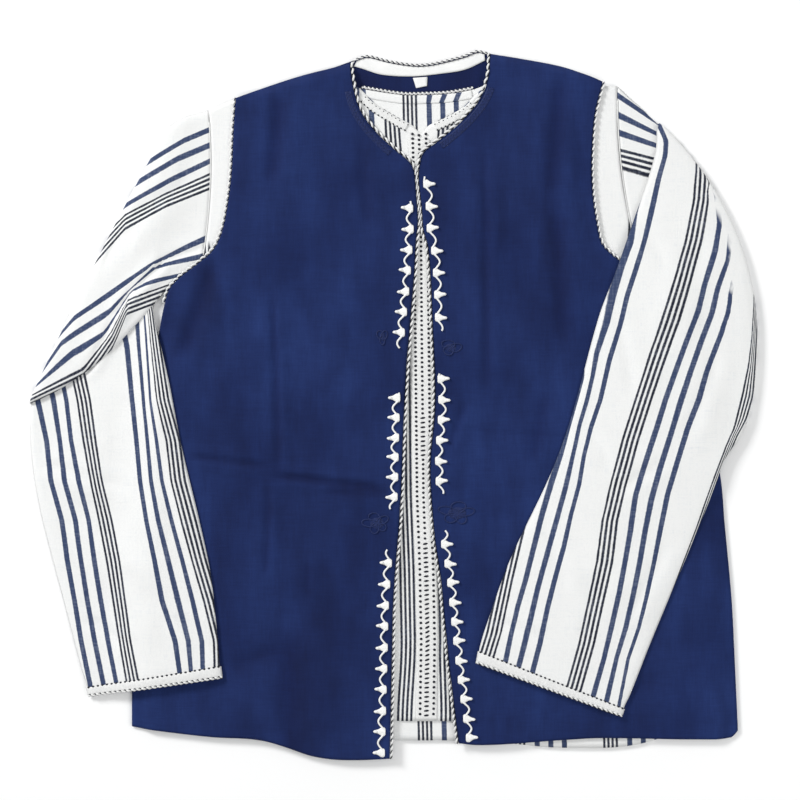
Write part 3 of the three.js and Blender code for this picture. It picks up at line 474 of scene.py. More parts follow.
def beside(table, distance):
    """The table moved sideways, to the left of its direction of travel."""
    points = np.array(table, float)
    n = len(points)
    step = points[np.minimum(np.arange(n) + 1, n - 1)] - points[np.maximum(np.arange(n) - 1, 0)]
    step /= np.linalg.norm(step, axis=1)[:, None]
    return points + np.stack([-step[:, 1], step[:, 0]], axis=1) * distance


def patch(top, bottom, left, right, us, vs):
    """Points of a four-sided patch between its edge curves, one row for each of vs."""
    u, v = us[None, :, None], vs[:, None, None]
    t, b = top(us)[None], bottom(us)[None]
    l, r = left(vs)[:, None], right(vs)[:, None]
    corners = ((1 - u) * (1 - v) * t[:, :1] + u * (1 - v) * t[:, -1:]
               + (1 - u) * v * b[:, :1] + u * v * b[:, -1:])
    return (1 - v) * t + v * b + (1 - u) * l + u * r - corners


# Meshes
def make(name, points, faces, node, materials, uv=None, material_of=None):
    """A smooth-shaded mesh that stands for a CAD node."""
    mesh = bpy.data.meshes.new(name)
    mesh.from_pydata(((np.asarray(points, float) + SHIFT) * MM).tolist(), [], faces)
    for material in materials:
        mesh.materials.append(material)
    mesh.polygons.foreach_set("use_smooth", np.ones(len(faces), bool))
    if material_of is not None:
        mesh.polygons.foreach_set("material_index", np.asarray(material_of, np.int32))
    if uv is not None:
        layer = mesh.uv_layers.new(name="cloth")
        layer.data.foreach_set("uv", np.asarray(uv, np.float32).ravel())
    mesh.update()
    piece = bpy.data.objects.new(name, mesh)
    bpy.context.collection.objects.link(piece)
    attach(piece, "root")
    if node:
        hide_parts(node)
    return piece


def grid_faces(rows, columns, offset=0, flip=False):
    i, j = np.meshgrid(np.arange(rows - 1), np.arange(columns - 1), indexing="ij")
    a = (i * columns + j).ravel() + offset
    quads = np.stack([a, a + columns, a + columns + 1, a + 1], axis=1)
    return quads[:, ::-1] if flip else quads


def sheet_mesh(upper, lower):
    """Points and faces of a closed sheet between an upper and a lower grid."""
    rows, columns = upper.shape[:2]
    n = rows * columns
    points = np.concatenate([upper.reshape(-1, 3), lower.reshape(-1, 3)])
    rim = np.concatenate([
        np.arange(columns), np.arange(2, rows + 1) * columns - 1,
        np.arange(n - 2, n - columns - 1, -1), np.arange(rows - 2, 0, -1) * columns,
    ])
    after = np.roll(rim, -1)
    sides = np.stack([rim, after, after + n, rim + n], axis=1)
    faces = np.concatenate([grid_faces(rows, columns), grid_faces(rows, columns, n, True), sides])
    return points, faces


def panel(name, grid, top, node, material, phase, thick=CLOTH, plain_and_highlight_mask=None):
    """A panel of cloth whose upper side has the given height. phase is its place in the repeat of the
    stripes (on navy cloth, how much painted shade it gets), and the mask given last is 1 where the stripes
    stop."""
    z = top(grid[..., 0], grid[..., 1])
    upper = np.dstack([grid, z])
    lower = np.dstack([grid, z - thick])
    points, faces = sheet_mesh(upper, lower)
    plain_and_highlight = plain_and_highlight_mask(points[:, 0], points[:, 1]) if plain_and_highlight_mask else np.zeros(len(points))
    place = np.stack([phase(points[:, 0], points[:, 1]), plain_and_highlight], axis=1)
    return make(name, points, faces.tolist(), node, [material], place[faces.ravel()])


def ribbon(name, table, height, thick, node, material, steps, across, crown, phase=None):
    """A ribbon laid on cloth. Rows: x, y of one edge, x, y of the other."""
    rows = np.array(table, float)
    knots = np.linspace(0, 1, len(rows))
    at = np.linspace(0, 1, steps)
    rows = hermite(knots, rows, at) if len(rows) > 2 else np.array([lerp(*rows, t) for t in at])
    u = np.linspace(0, 1, across + 1)[None, :, None]
    flat = rows[:, None, :2] * (1 - u) + rows[:, None, 2:] * u
    z = height(flat[..., 0], flat[..., 1]) + GAP
    rise = thick * (1 - crown * np.abs(2 * u[..., 0] - 1) ** 3)
    points, faces = sheet_mesh(np.dstack([flat, z + rise]), np.dstack([flat, z]))
    long = np.repeat(at, across + 1)
    wide = np.tile(np.linspace(0, 1, across + 1), steps)
    if phase is not None:
        wide, long = phase(flat[..., 0], flat[..., 1]).ravel(), 0 * long
    place = np.tile(np.stack([wide, long], axis=1), (2, 1))
    return make(name, points, faces.tolist(), node, [material], place[faces.ravel()])


def even_walk(path, step):
    """The same line with points about a step apart."""
    lengths = np.concatenate([[0], np.cumsum(np.linalg.norm(np.diff(path, axis=0), axis=1))])
    count = max(3, int(round(lengths[-1] / step)) + 1)
    at = np.linspace(0, lengths[-1], count)
    return np.stack([np.interp(at, lengths, path[:, k]) for k in range(3)], axis=1), at


def frames(path):
    """Unit side and up directions along a line that lies roughly flat."""
    forward = np.gradient(path, axis=0)
    forward /= np.linalg.norm(forward, axis=1)[:, None]
    side = np.cross([0, 0, 1.0], forward)
    side /= np.linalg.norm(side, axis=1)[:, None]
    return side, np.cross(forward, side)


def tube(path, radius, sides=8, side=None, up=None, closed=False):
    """Points and faces of a round cord along a line. radius may change along it."""
    if side is None:
        side, up = frames(path)
    radius = np.broadcast_to(radius, len(path))
    angle = np.arange(sides) / sides * 2 * math.pi
    ring = np.cos(angle)[None, :, None] * side[:, None] + np.sin(angle)[None, :, None] * up[:, None]
    points = (path[:, None] + ring * radius[:, None, None]).reshape(-1, 3)
    i, k = np.meshgrid(np.arange(len(path) - (not closed)), np.arange(sides), indexing="ij")
    i, k = i.ravel(), k.ravel()
    n, m = (k + 1) % sides, (i + 1) % len(path)
    faces = np.stack([i * sides + k, i * sides + n, m * sides + n, m * sides + k], axis=1).tolist()
    if not closed:
        last = (len(path) - 1) * sides
        faces.append(list(range(sides))[::-1])
        faces.append(list(range(last, last + sides)))
    return points, faces


def merge(parts):
    """Joins lists of points and faces into one."""
    points, faces, owner, offset = [], [], [], 0
    for number, (p, f) in enumerate(parts):
        points.append(p)
        faces.extend([[v + offset for v in face] for face in f])
        owner.extend([number] * len(f))
        offset += len(p)
    return np.concatenate(points), faces, owner


def twisted_parts(path, radius, lead, toward=0.0, slim=None):
    """A thin black and a thick white strand laid round each other. The lead is that at the two ends,
    toward shifts the black one to the left (1) or the right (-1) of the direction of travel, and slim
    gives the share of the radius at each y."""
    first, last = lead if isinstance(lead, tuple) else (lead, lead)
    walk, at = even_walk(path, min(first, last) / 9)
    leads = lerp(first, last, smooth(0, 0.8, at / at[-1]))
    turns = np.concatenate([[0], np.cumsum(np.diff(at) / leads[1:])])
    side, up = frames(walk)
    radii = radius * (slim(walk[:, 1]) if slim else np.ones(len(walk)))
    parts = []
    for offset, reach, girth, shift in ((0.0, 0.46, 0.38, toward), (0.5, 0.36, 0.66, 0.0)):
        angle = ((turns + offset) * 2 * math.pi)[:, None]
        radial = np.cos(angle) * side + np.sin(angle) * up
        leaning = radial * reach + side * shift * 0.34 - up * abs(shift) * 0.1
        strand = walk + leaning * radii[:, None]
        forward = np.gradient(strand, axis=0)
        forward /= np.linalg.norm(forward, axis=1)[:, None]
        parts.append(tube(strand, radii * girth, 7, radial, np.cross(forward, radial)))
    return parts


def twisted_cord(name, path, radius, lead, node, materials, toward=0.0):
    points, faces, owner = merge(twisted_parts(path, radius, lead, toward))
    return make(name, points, faces, node, materials, None, owner)


def dashes(name, places):
    """Raised black stitches. Places: x, y, z, the thread's direction in the plane and its sizes."""
    angle = np.arange(8) / 8 * 2 * math.pi
    ring = np.stack([np.cos(angle), np.sin(angle)], axis=1)
    flat = np.concatenate([ring, 0.7 * ring, np.zeros((1, 2))])
    high = np.repeat([0.0, 0.75, 1.0], [8, 8, 1])
    faces = [[k, (k + 1) % 8, 8 + (k + 1) % 8, 8 + k] for k in range(8)]
    faces += [[8 + k, 8 + (k + 1) % 8, 16] for k in range(8)]
    faces.append(list(range(8))[::-1])
    parts = []
    for x, y, z, dx, dy, (half_long, half_wide, rise) in places:
        px = x + flat[:, 0] * half_long * dx - flat[:, 1] * half_wide * dy
        py = y + flat[:, 0] * half_long * dy + flat[:, 1] * half_wide * dx
        parts.append((np.stack([px, py, z + high * rise], axis=1), faces))
    points, faces, _ = merge(parts)
    return make(name, points, faces, None, [BLACK_STITCH])


# Heights of the layers
shoulder_left, shoulder_right = curve(SHOULDER_LEFT, 0), curve(SHOULDER_RIGHT, 0)
side_left, side_right = curve(OUTER_LEFT, 1), curve(OUTER_RIGHT, 1)
hem_left, hem_right = curve(HEM_LEFT, 0), curve(HEM_RIGHT, 0)


def inside_side(side, x, y):
    """Distance of a point inside the side edge of the vest."""
    table, edge = (OUTER_LEFT, side_left) if side < 0 else (OUTER_RIGHT, side_right)
    return (x - edge(share(table, 1, y))[..., 0]) * (1 if side < 0 else -1)


def fold_rise(folds, x, y):
    """Height that the broad folds of a table add at a point."""
    total = np.zeros(np.shape(x))
    for x0, y0, x1, y1, width, height in folds:
        dx, dy = x1 - x0, y1 - y0
        t = np.clip(((x - x0) * dx + (y - y0) * dy) / (dx * dx + dy * dy), 0, 1)
        away = np.hypot(x - x0 - t * dx, y - y0 - t * dy)
        total += height * np.exp(-((away / width) ** 2)) * np.sin(math.pi * (0.1 + 0.8 * t))
    return total


def crease_places(creases, x, y):
    """For each crease its width and depth, how far across it each point is, and how strong it is there."""
    for x0, y0, x1, y1, width, depth, bend in creases:
        length = math.hypot(x1 - x0, y1 - y0)
        dx, dy = (x1 - x0) / length, (y1 - y0) / length
        s = ((x - x0) * dx + (y - y0) * dy) / length
        across = (x - x0) * -dy + (y - y0) * dx
        across = across - bend * np.sin(math.pi * np.clip(s, 0, 1)) - 0.25 * bend * np.sin(9 * s)
        yield width, depth, across, smooth(-0.06, 0.18, s) * (1 - smooth(0.8, 1.07, s))


def crease_rise(creases, x, y):
    """Height of sharp creases: a narrow trough with soft ridges beside it, fading at both ends."""
    total = np.zeros(np.shape(x))
    for width, depth, across, fade in crease_places(creases, x, y):
        trough = -np.exp(-((across / width) ** 2))
        ridge = 0.6 * np.exp(-(((across - 2.3 * width) / (1.7 * width)) ** 2))
        ridge += 0.35 * np.exp(-(((across + 2.6 * width) / (2.0 * width)) ** 2))
        total += depth * fade * (trough + ridge)
    return CREASE_DEPTH * total


def crease_shade(creases, x, y):
    """How much painted shade a point gets inside the creases, from 0 to 1."""
    total = np.zeros(np.shape(x))
    for width, depth, across, fade in crease_places(creases, x, y):
        total += min(1, depth / 1.6) * fade * np.exp(-((across / (1.25 * width)) ** 2))
    return np.clip(total, 0, 1)


def slackness(x, y, size=1.0):
    """Slight waviness of cloth that lies loosely."""
    broad = 0.16 * np.sin(x / 17 + 1.3 * np.sin(y / 41)) * np.sin(y / 29 + 0.8)
    slanted = 0.12 * np.sin((x + 0.6 * y) / 23 + 2.1)
    fine = 0.08 * np.sin((y - 0.4 * x) / 9.5) * np.sin(x / 13)
    return size * (broad + slanted + fine)


def front_under(side, x, y):
    """Underside of a vest front, as the part has it."""
    if side < 0:
        shoulder = shoulder_left(share(SHOULDER_LEFT, 0, x))[..., 1]
        hem = hem_left(share(HEM_LEFT, 0, x))[..., 1]
        tip, opening, folds = x - SHOULDER_LEFT[0][0], -x, FOLDS_LEFT
    else:
        shoulder = shoulder_right(share(SHOULDER_RIGHT, 0, x))[..., 1]
        hem = hem_right(share(HEM_RIGHT, 0, x))[..., 1]
        tip, opening, folds = SHOULDER_RIGHT[4][0] - x, x - CORD_RIGHT[-1][0], FOLDS_RIGHT
    full = VEST_FRONT_Z - VEST_SEAM_Z
    drop = full * (1 - smooth(0, SHOULDER_SLOPE, shoulder - y)) * smooth(0, SHOULDER_FADE, tip)
    beside_seam = 1 - smooth(0, SIDE_SLOPE, inside_side(side, x, y))
    drop += full * beside_seam * smooth(0, CORNER_SLOPE, CORNER_Y - y)
    drop += HEM_DROP * (1 - smooth(0, HEM_SLOPE, y - hem)) * smooth(40, 90, opening)
    low = np.maximum(VEST_SEAM_Z, VEST_FRONT_Z - drop)
    raised = (low - VEST_SEAM_Z) / full
    return low + fold_rise(folds, x, y) * raised**2 * smooth(8, 45, opening + 30)


def front_top(side, x, y):
    """Upper side of a vest front, with its creases."""
    creases = CREASES_LEFT if side < 0 else CREASES_RIGHT
    inside = smooth(4, 26, inside_side(side, x, np.minimum(y, CORNER_Y))) * smooth(0, 40, y + 385)
    calm = smooth(-2, 22, (-x - 12) if side < 0 else (x - 48))
    waves = (crease_rise(creases, x, y) + slackness(x, y)) * inside * (0.35 + 0.65 * calm)
    return front_under(side, x, y) + WALL + waves


def rest_left(x, y):
    """Ground under the left forearm."""
    on_vest = smooth(-36, 22, inside_side(-1, x, np.minimum(y, CORNER_Y)))
    return LEFT_REST * on_vest * (1 - smooth(105, 165, y))


def rest_right(x, y):
    """Ground under the right forearm."""
    beside_edge = smooth(-34, 6, inside_side(1, x, np.minimum(y, CORNER_Y)))
    on_vest = RIGHT_REST * beside_edge * (1 - smooth(160, 240, y))
    (ax, ay), (bx, by) = UNDERARM
    dx, dy = bx - ax, by - ay
    t = np.clip(((x - ax) * dx + (y - ay) * dy) / (dx**2 + dy**2), 0, 1)
    away = np.hypot(x - lerp(ax, bx, t), y - lerp(ay, by, t))
    return on_vest + (1 - smooth(14, 55, away)) * (UNDERARM_REST - on_vest)


def drawn_together(y):
    """Where the edges of the two fronts meet."""
    return smooth(180, 206, y) * (1 - smooth(250, 270, y))


# Materials
class Nodes:
    """A material and short ways to add and link its nodes."""

    def __init__(self, name, colour, roughness):
        self.material = bpy.data.materials.new(name)
        self.material.use_nodes = True
        self.tree = self.material.node_tree
        self.shader = self.tree.nodes["Principled BSDF"]
        self.shader.inputs["Base Color"].default_value = (*colour, 1)
        self.shader.inputs["Roughness"].default_value = roughness
        self.shader.inputs["Specular IOR Level"].default_value = 0.25
        self.coords = self.tree.nodes.new("ShaderNodeTexCoord")

    def add(self, kind, **values):
        node = self.tree.nodes.new(kind)
        for key, value in values.items():
            if key in node.inputs:
                node.inputs[key].default_value = value
            else:
                setattr(node, key, value)
        return node

    def link(self, a, b):
        self.tree.links.new(a, b)

    def scaled(self, scale, rotation=0.0):
        """Texture coordinates scaled unevenly, for threads that run one way."""
        mapping = self.add("ShaderNodeMapping", Scale=scale)
        mapping.inputs["Rotation"].default_value = (0, 0, rotation)
        self.link(self.coords.outputs["Object"], mapping.inputs["Vector"])
        return mapping.outputs["Vector"]

    def noise(self, scale, vector, detail=2.0, distortion=0.0):
        node = self.add("ShaderNodeTexNoise", Scale=scale, Detail=detail, Distortion=distortion)
        self.link(vector, node.inputs["Vector"])
        return node.outputs["Fac"]

    def wave(self, scale, direction, distortion=0.6):
        node = self.add("ShaderNodeTexWave", bands_direction=direction, Scale=scale, Distortion=distortion)
        self.link(self.coords.outputs["Object"], node.inputs["Vector"])
        return node.outputs["Fac"]

    def math(self, operation, a, b, clamp=False):
        node = self.add("ShaderNodeMath", operation=operation, use_clamp=clamp)
        for socket, value in zip(node.inputs, (a, b)):
            if isinstance(value, (int, float)):
                socket.default_value = value
            else:
                self.link(value, socket)
        return node.outputs[0]

    def ramp(self, fac, stops):
        node = self.add("ShaderNodeValToRGB")
        ramp = node.color_ramp
        while len(ramp.elements) < len(stops):
            ramp.elements.new(0.5)
        for element, (place, colour) in zip(ramp.elements, stops):
            element.position = place
            element.color = (*colour, 1)
        self.link(fac, node.inputs["Fac"])
        return node.outputs["Color"]

    def mix(self, fac, a, b, blend="MIX"):
        node = self.add("ShaderNodeMix", data_type="RGBA", blend_type=blend)
        for socket, value in ((node.inputs[0], fac), (node.inputs[6], a), (node.inputs[7], b)):
            if isinstance(value, (int, float)):
                socket.default_value = value
            elif isinstance(value, tuple):
                socket.default_value = (*value, 1)
            else:
                self.link(value, socket)
        return node.outputs[2]

    def bump(self, height, distance, strength=1.0):
        node = self.add("ShaderNodeBump", Strength=strength, Distance=distance)
        self.link(height, node.inputs["Height"])
        self.link(node.outputs["Normal"], self.shader.inputs["Normal"])

    def colour(self, socket):
        self.link(socket, self.shader.inputs["Base Color"])

    def sheen(self, weight, tint, roughness=0.4):
        self.shader.inputs["Sheen Weight"].default_value = weight
        self.shader.inputs["Sheen Tint"].default_value = (*tint, 1)
        self.shader.inputs["Sheen Roughness"].default_value = roughness

    def weave(self, scale):
        """Height of a plain weave with the given wave scale."""
        return self.math("MULTIPLY", self.wave(scale, "X"), self.wave(scale, "Y"))

    def threads(self, warp, weft):
        """Uneven threads that run down and across, with the given scales."""
        return self.math("ADD", self.noise(1.0, self.scaled(warp)), self.noise(1.0, self.scaled(weft)))

    def cloth_values(self):
        """The two values a mesh carries: place in the repeat (on navy cloth, how much painted shade it gets),
        and plainness (on the right forearm, a painted highlight).
        """
        split = self.add("ShaderNodeSeparateXYZ")
        self.link(self.coords.outputs["UV"], split.inputs[0])
        return split.outputs["X"], split.outputs["Y"]


WEAVE = 330.0


def navy_cloth():
    n = Nodes("navy_cloth", (0.0130, 0.0225, 0.095), 0.85)
    broad = n.noise(9.0, n.coords.outputs["Object"], 3.0)
    threads = n.threads((700, 60, 60), (60, 700, 60))
    base = n.ramp(broad, [(0.34, (0.0036, 0.0130, 0.0760)), (0.66, (0.0088, 0.0240, 0.1130))])
    mottle = n.ramp(n.noise(1.0, n.scaled((46, 15, 1)), 5.0),
                    [(0.34, (0.80, 0.84, 0.88)), (0.5, (0.98, 0.98, 0.99)), (0.66, (1.20, 1.16, 1.12))])
    slub = n.ramp(n.math("MULTIPLY", threads, 0.5),
                  [(0.34, (0.84, 0.86, 0.90)), (0.66, (1.16, 1.14, 1.10))])
    # Broad vertical bands of lighter and darker navy: partly uneven nap of the cloth, partly painted shade of
    # soft vertical folds.
    bands = n.ramp(n.noise(1.0, n.scaled((17, 2.2, 1)), 3.0, 0.4),
                   [(0.32, (0.76, 0.79, 0.84)), (0.5, (0.97, 0.97, 0.98)), (0.7, (1.20, 1.17, 1.12))])
    dyed = n.mix(1.0, base, mottle, "MULTIPLY")
    uneven = n.mix(1.0, n.mix(1.0, dyed, slub, "MULTIPLY"), bands, "MULTIPLY")
    # Painted shade: the first value darkens the navy towards a deep shade colour, in the creases of the
    # fronts and at the top of the back inside the neck opening.
    painted_shade, _ = n.cloth_values()
    n.colour(n.mix(painted_shade, uneven, n.mix(1.0, uneven, (0.44, 0.54, 0.68), "MULTIPLY")))
    n.bump(n.math("ADD", n.weave(WEAVE), threads), 0.00022, 0.6)
    n.sheen(0.06, (0.40, 0.46, 0.72))
    return n.material


STRIPE_WHITE = (0.855, 0.858, 0.848)
STRIPE_BLUE = (0.036, 0.056, 0.128)
STRIPE_BLACK = (0.010, 0.014, 0.030)


def striped_cloth():
    n = Nodes("striped_cloth", STRIPE_WHITE, 0.8)
    place, plain_and_highlight = n.cloth_values()
    wobble = n.noise(1.0, n.scaled((420, 420, 420)), 1.0)
    drift = n.math("MULTIPLY", n.math("SUBTRACT", wobble, 0.5), 0.006)
    phase = n.math("FRACT", n.math("ADD", place, drift), 0.0)
    stops = [(0.0, STRIPE_WHITE)]
    for centres, half, colour in ((BLUE, BLUE_HALF, STRIPE_BLUE), (THIN, THIN_HALF, STRIPE_BLACK)):
        for c in centres:
            stops.append((c - half - STRIPE_EDGE, STRIPE_WHITE))
            stops += [(c - half, colour), (c + half, colour)]
            stops.append((c + half + STRIPE_EDGE, STRIPE_WHITE))
    # Where the second value is 1 the stripes turn white: plain cloth, and on the right forearm a painted
    # highlight.
    woven = n.mix(plain_and_highlight, n.ramp(phase, stops), STRIPE_WHITE)
    threads = n.threads((520, 50, 50), (50, 620, 50))
    wear = n.math("MULTIPLY", n.math("SUBTRACT", threads, 0.95), 0.5, True)
    worn = n.mix(wear, woven, (0.40, 0.44, 0.55))
    shade = n.ramp(n.math("MULTIPLY", threads, 0.5),
                   [(0.35, (0.95, 0.95, 0.96)), (0.65, (1.03, 1.03, 1.02))])
    n.colour(n.mix(1.0, worn, shade, "MULTIPLY"))
    n.bump(n.math("ADD", n.weave(WEAVE * 0.9), threads), 0.00025, 0.6)
    n.sheen(0.06, (1, 1, 1))
    return n.material


def thread_white(name="white_braid", colour=(0.93, 0.93, 0.91)):
    n = Nodes(name, colour, 0.55)
    fibres = n.noise(1.0, n.scaled((1500, 420, 900), 0.5), 2.0)
    n.colour(n.ramp(fibres, [(0.3, tuple(0.84 * c for c in colour)), (0.62, colour)]))
    n.bump(fibres, 0.0003, 0.7)
    n.sheen(0.15, (1, 1, 1))
    return n.material


def woven_ribbon():
    n = Nodes("white_ribbon", (0.84, 0.84, 0.83), 0.6)
    rib = n.wave(430, "Y", 0.3)
    fibres = n.noise(1.0, n.scaled((900, 300, 300)), 2.0)
    n.colour(n.ramp(fibres, [(0.3, (0.81, 0.815, 0.81)), (0.62, (0.89, 0.89, 0.88))]))
    n.bump(n.math("ADD", rib, fibres), 0.0003, 0.7)
    n.sheen(0.1, (1, 1, 1))
    return n.material


def lining_white():
    n = Nodes("white_lining", (0.80, 0.80, 0.80), 0.75)
    n.colour(n.ramp(n.noise(60, n.coords.outputs["Object"], 3.0),
                    [(0.3, (0.82, 0.825, 0.82)), (0.7, (0.89, 0.89, 0.88))]))
    n.bump(n.weave(WEAVE * 1.1), 0.0002, 0.5)
    return n.material


def dark_thread(name, colour, tint):
    n = Nodes(name, colour, 0.6)
    fibres = n.noise(1.0, n.scaled((1400, 500, 900), 0.6), 2.0)
    dim, bright = (tuple(share_of * c for c in colour) for share_of in (0.65, 1.35))
    n.colour(n.ramp(fibres, [(0.3, dim), (0.65, bright)]))
    n.bump(fibres, 0.0003, 0.7)
    n.sheen(0.25, tint)
    return n.material


NAVY_CLOTH = navy_cloth()
STRIPED = striped_cloth()
WHITE_BRAID = thread_white()
WHITE_RIBBON = woven_ribbon()
WHITE_LINING = lining_white()
NAVY_BRAID = dark_thread("navy_braid", (0.0078, 0.0180, 0.0840), (0.35, 0.42, 0.8))
BLACK_STRAND = dark_thread("black_strand", (0.008, 0.009, 0.018), (0.4, 0.45, 0.6))
WHITE_STRAND = thread_white("white_strand", (0.85, 0.85, 0.84))
BLACK_STITCH = dark_thread("black_stitch", (0.010, 0.011, 0.020), (0.4, 0.4, 0.5))
STRANDS = [BLACK_STRAND, WHITE_STRAND]
STRANDS_ON_NAVY = [dark_thread("navy_strand", (0.006, 0.011, 0.045), (0.3, 0.35, 0.6)), WHITE_STRAND]


# Vest
def shares(length, step):
    return np.linspace(0, 1, int(round(length / step)) + 1)


left_inner = beside(CORD_LEFT, -CORD_BESIDE)
left_inner[0], left_inner[-1] = SHOULDER_LEFT[4], HEM_LEFT[9]
right_inner = beside(CORD_RIGHT, CORD_BESIDE)
right_inner[0], right_inner[-1] = SHOULDER_RIGHT[0], HEM_RIGHT[0]
edge_left, edge_right = curve(left_inner, 1), curve(right_inner, 1)

VEST_LENGTH = 750
LEFT_WIDTH = 280
RIGHT_WIDTH = 310
BACK_WIDTH = 660
EDGE_PUSH = 1.9
left_grid = patch(shoulder_left, hem_left, side_left, edge_left,
                  shares(LEFT_WIDTH, GRID), shares(VEST_LENGTH, GRID))
right_grid = patch(shoulder_right, hem_right, edge_right, side_right,
                   shares(RIGHT_WIDTH, GRID), shares(VEST_LENGTH, GRID))
for grid, way, first, last in ((left_grid, 1, 0, 1), (right_grid, -1, 1, 0)):
    near_edge = np.linspace(first, last, grid.shape[1])
    grid[..., 0] += way * EDGE_PUSH * drawn_together(grid[..., 1]) * smooth(0.93, 1, near_edge)


# The fronts carry painted shade in their creases, which darkens the navy cloth.
def vest_front(node, side, grid, creases):
    return panel(node + "_cloth", grid, lambda x, y: front_top(side, x, y), node,
                 NAVY_CLOTH, lambda x, y: crease_shade(creases, x, y))


front_left = vest_front("vest_front_left", -1, left_grid, CREASES_LEFT)
front_right = vest_front("vest_front_right", 1, right_grid, CREASES_RIGHT)

back_top = [*SHOULDER_LEFT[:4], *CORD_BACK, *SHOULDER_RIGHT[1:]]
back_grid = patch(curve(back_top, 0), curve(VEST_BACK_HEM, 0), side_left, side_right,
                  shares(BACK_WIDTH, HIDDEN_GRID), shares(VEST_LENGTH, HIDDEN_GRID))


def back_height(x, y):
    return np.full(np.shape(x), VEST_BACK_Z + WALL)


# Painted shade: the top of the back, seen inside the neck opening, gets the navy cloth's full painted shade.
vest_back = panel("vest_back_cloth", back_grid, back_height, "vest_back", NAVY_CLOTH,
                  lambda x, y: smooth(300, 330, y), WALL)


# Shirt body
def shirt_back_height(x, y):
    return np.full(np.shape(x), SHIRT_BACK_Z + WALL) + 0.5 * slackness(x, y)


def shirt_front_height(x, y):
    flat = np.full(np.shape(x), SHIRT_FRONT_Z + WALL)
    return flat + crease_rise(CREASES_SHIRT, x, y) + 0.6 * slackness(x, y)


PLACKET_MIDDLE = [(-349, 37.2), (-260, 38.6), (-180, 37), (-100, 34), (90, 32), (230, 31), (298, 29)]
PERIOD_FRONT = 107.0


def placket_x(y):
    """Middle of the placket."""
    return np.interp(y, *np.array(PLACKET_MIDDLE).T)


def front_phase(x, y):
    """Stripes of the shirt front, alike on both sides of the placket."""
    away = np.abs(x - placket_x(y))
    middle = lerp(21.2, 28, smooth(150, 300, y)) + 2.6 * smooth(-270, -345, -np.abs(y))
    return (THIN[1] + THIN[2]) / 2 + 3 - (away - middle) / PERIOD_FRONT


def back_phase(x, y):
    """Stripes of the shirt back, which lean a little."""
    lean = 17 * (340 - y) / 700
    return BLUE[2] + 3 - (x - 40 - lean) / PERIOD


SHIRT_WIDTH = 600
SHIRT_LENGTH = 690
shirt_left, shirt_right = curve(SHIRT_SIDE_LEFT, 1), curve(SHIRT_SIDE_RIGHT, 1)
shirt_back_grid = patch(curve(SHIRT_TOP_BACK, 0), curve(SHIRT_HEM_BACK, 0), shirt_left, shirt_right,
                        shares(SHIRT_WIDTH, 6), shares(SHIRT_LENGTH, 6))
shirt_front_grid = patch(curve(SHIRT_TOP_FRONT, 0), curve(SHIRT_HEM_FRONT, 0), shirt_left, shirt_right,
                         shares(SHIRT_WIDTH, 4), shares(SHIRT_LENGTH, 5))
shirt_back = panel("shirt_back_cloth", shirt_back_grid, shirt_back_height, "shirt_back",
                   STRIPED, back_phase)
shirt_front = panel("shirt_front_cloth", shirt_front_grid, shirt_front_height, "shirt_front",
                    STRIPED, front_phase, CLOTH,
                    lambda x, y: smooth(-178, -183, x) * smooth(174, 178, y))


# Facing and label inside the back neck
facing_top = curve(beside(CORD_BACK, -CORD_BESIDE + 0.4), 0)
facing_low = curve(FACING_LOWER, 0)
facing_rows = []
for t in np.linspace(0, 1, 25):
    a, b = facing_top(t), facing_low(t)
    facing_rows.append([b[0], min(b[1], a[1] - 2.5), a[0], a[1]])
facing = ribbon("neck_facing", facing_rows, back_height, RIBBON_THICK, "vest_neck_facing",
                WHITE_LINING, 90, 6, 0.3)
label = ribbon("neck_label", LABEL_ROWS, back_height, RIBBON_THICK, "vest_neck_label",
               WHITE_LINING, 10, 6, 0.3)


# Placket, neck bands and their stitches
def along(walk, first, last, steps, near, far):
    """Rows across a ribbon that follows a curve, from one distance beside it to another."""
    t = np.linspace(first, last, steps)
    centre, normal = walk(t), normals_of(walk(t))
    return np.concatenate([centre + normal * near, centre + normal * far], axis=1)


placket_y = np.linspace(291, -348, 40)
placket_rows = np.stack([placket_x(placket_y) - PLACKET_WIDTH / 2, placket_y,
                         placket_x(placket_y) + PLACKET_WIDTH / 2, placket_y], axis=1)
placket = ribbon("placket_ribbons", placket_rows, shirt_front_height, RIBBON_THICK, "shirt_placket",
                 WHITE_RIBBON, 160, 12, 0.35)

places = []
for column, at in ((-7.0, 297.0), (0.0, 295.7), (7.7, 297.0)):
    while at > -344:
        x = placket_x(at) + column
        wide = column == 0 and (at < -150 or abs(at + 35) < 22)
        base, wave = (0.3, 23) if wide else (0.12, 17)
        slant = base + 0.2 * math.sin(at / wave + column)
        z = float(shirt_front_height(x, at)) + GAP + 0.82
        places.append((x, at, z, math.cos(slant), math.sin(slant), WIDE_DASH if wide else DASH))
        at -= 5.1 if wide else lerp(5.1, 5.9, smooth(-60, -160, at) if at < -60 else 0.0)
placket_stitches = dashes("placket_stitches", places)

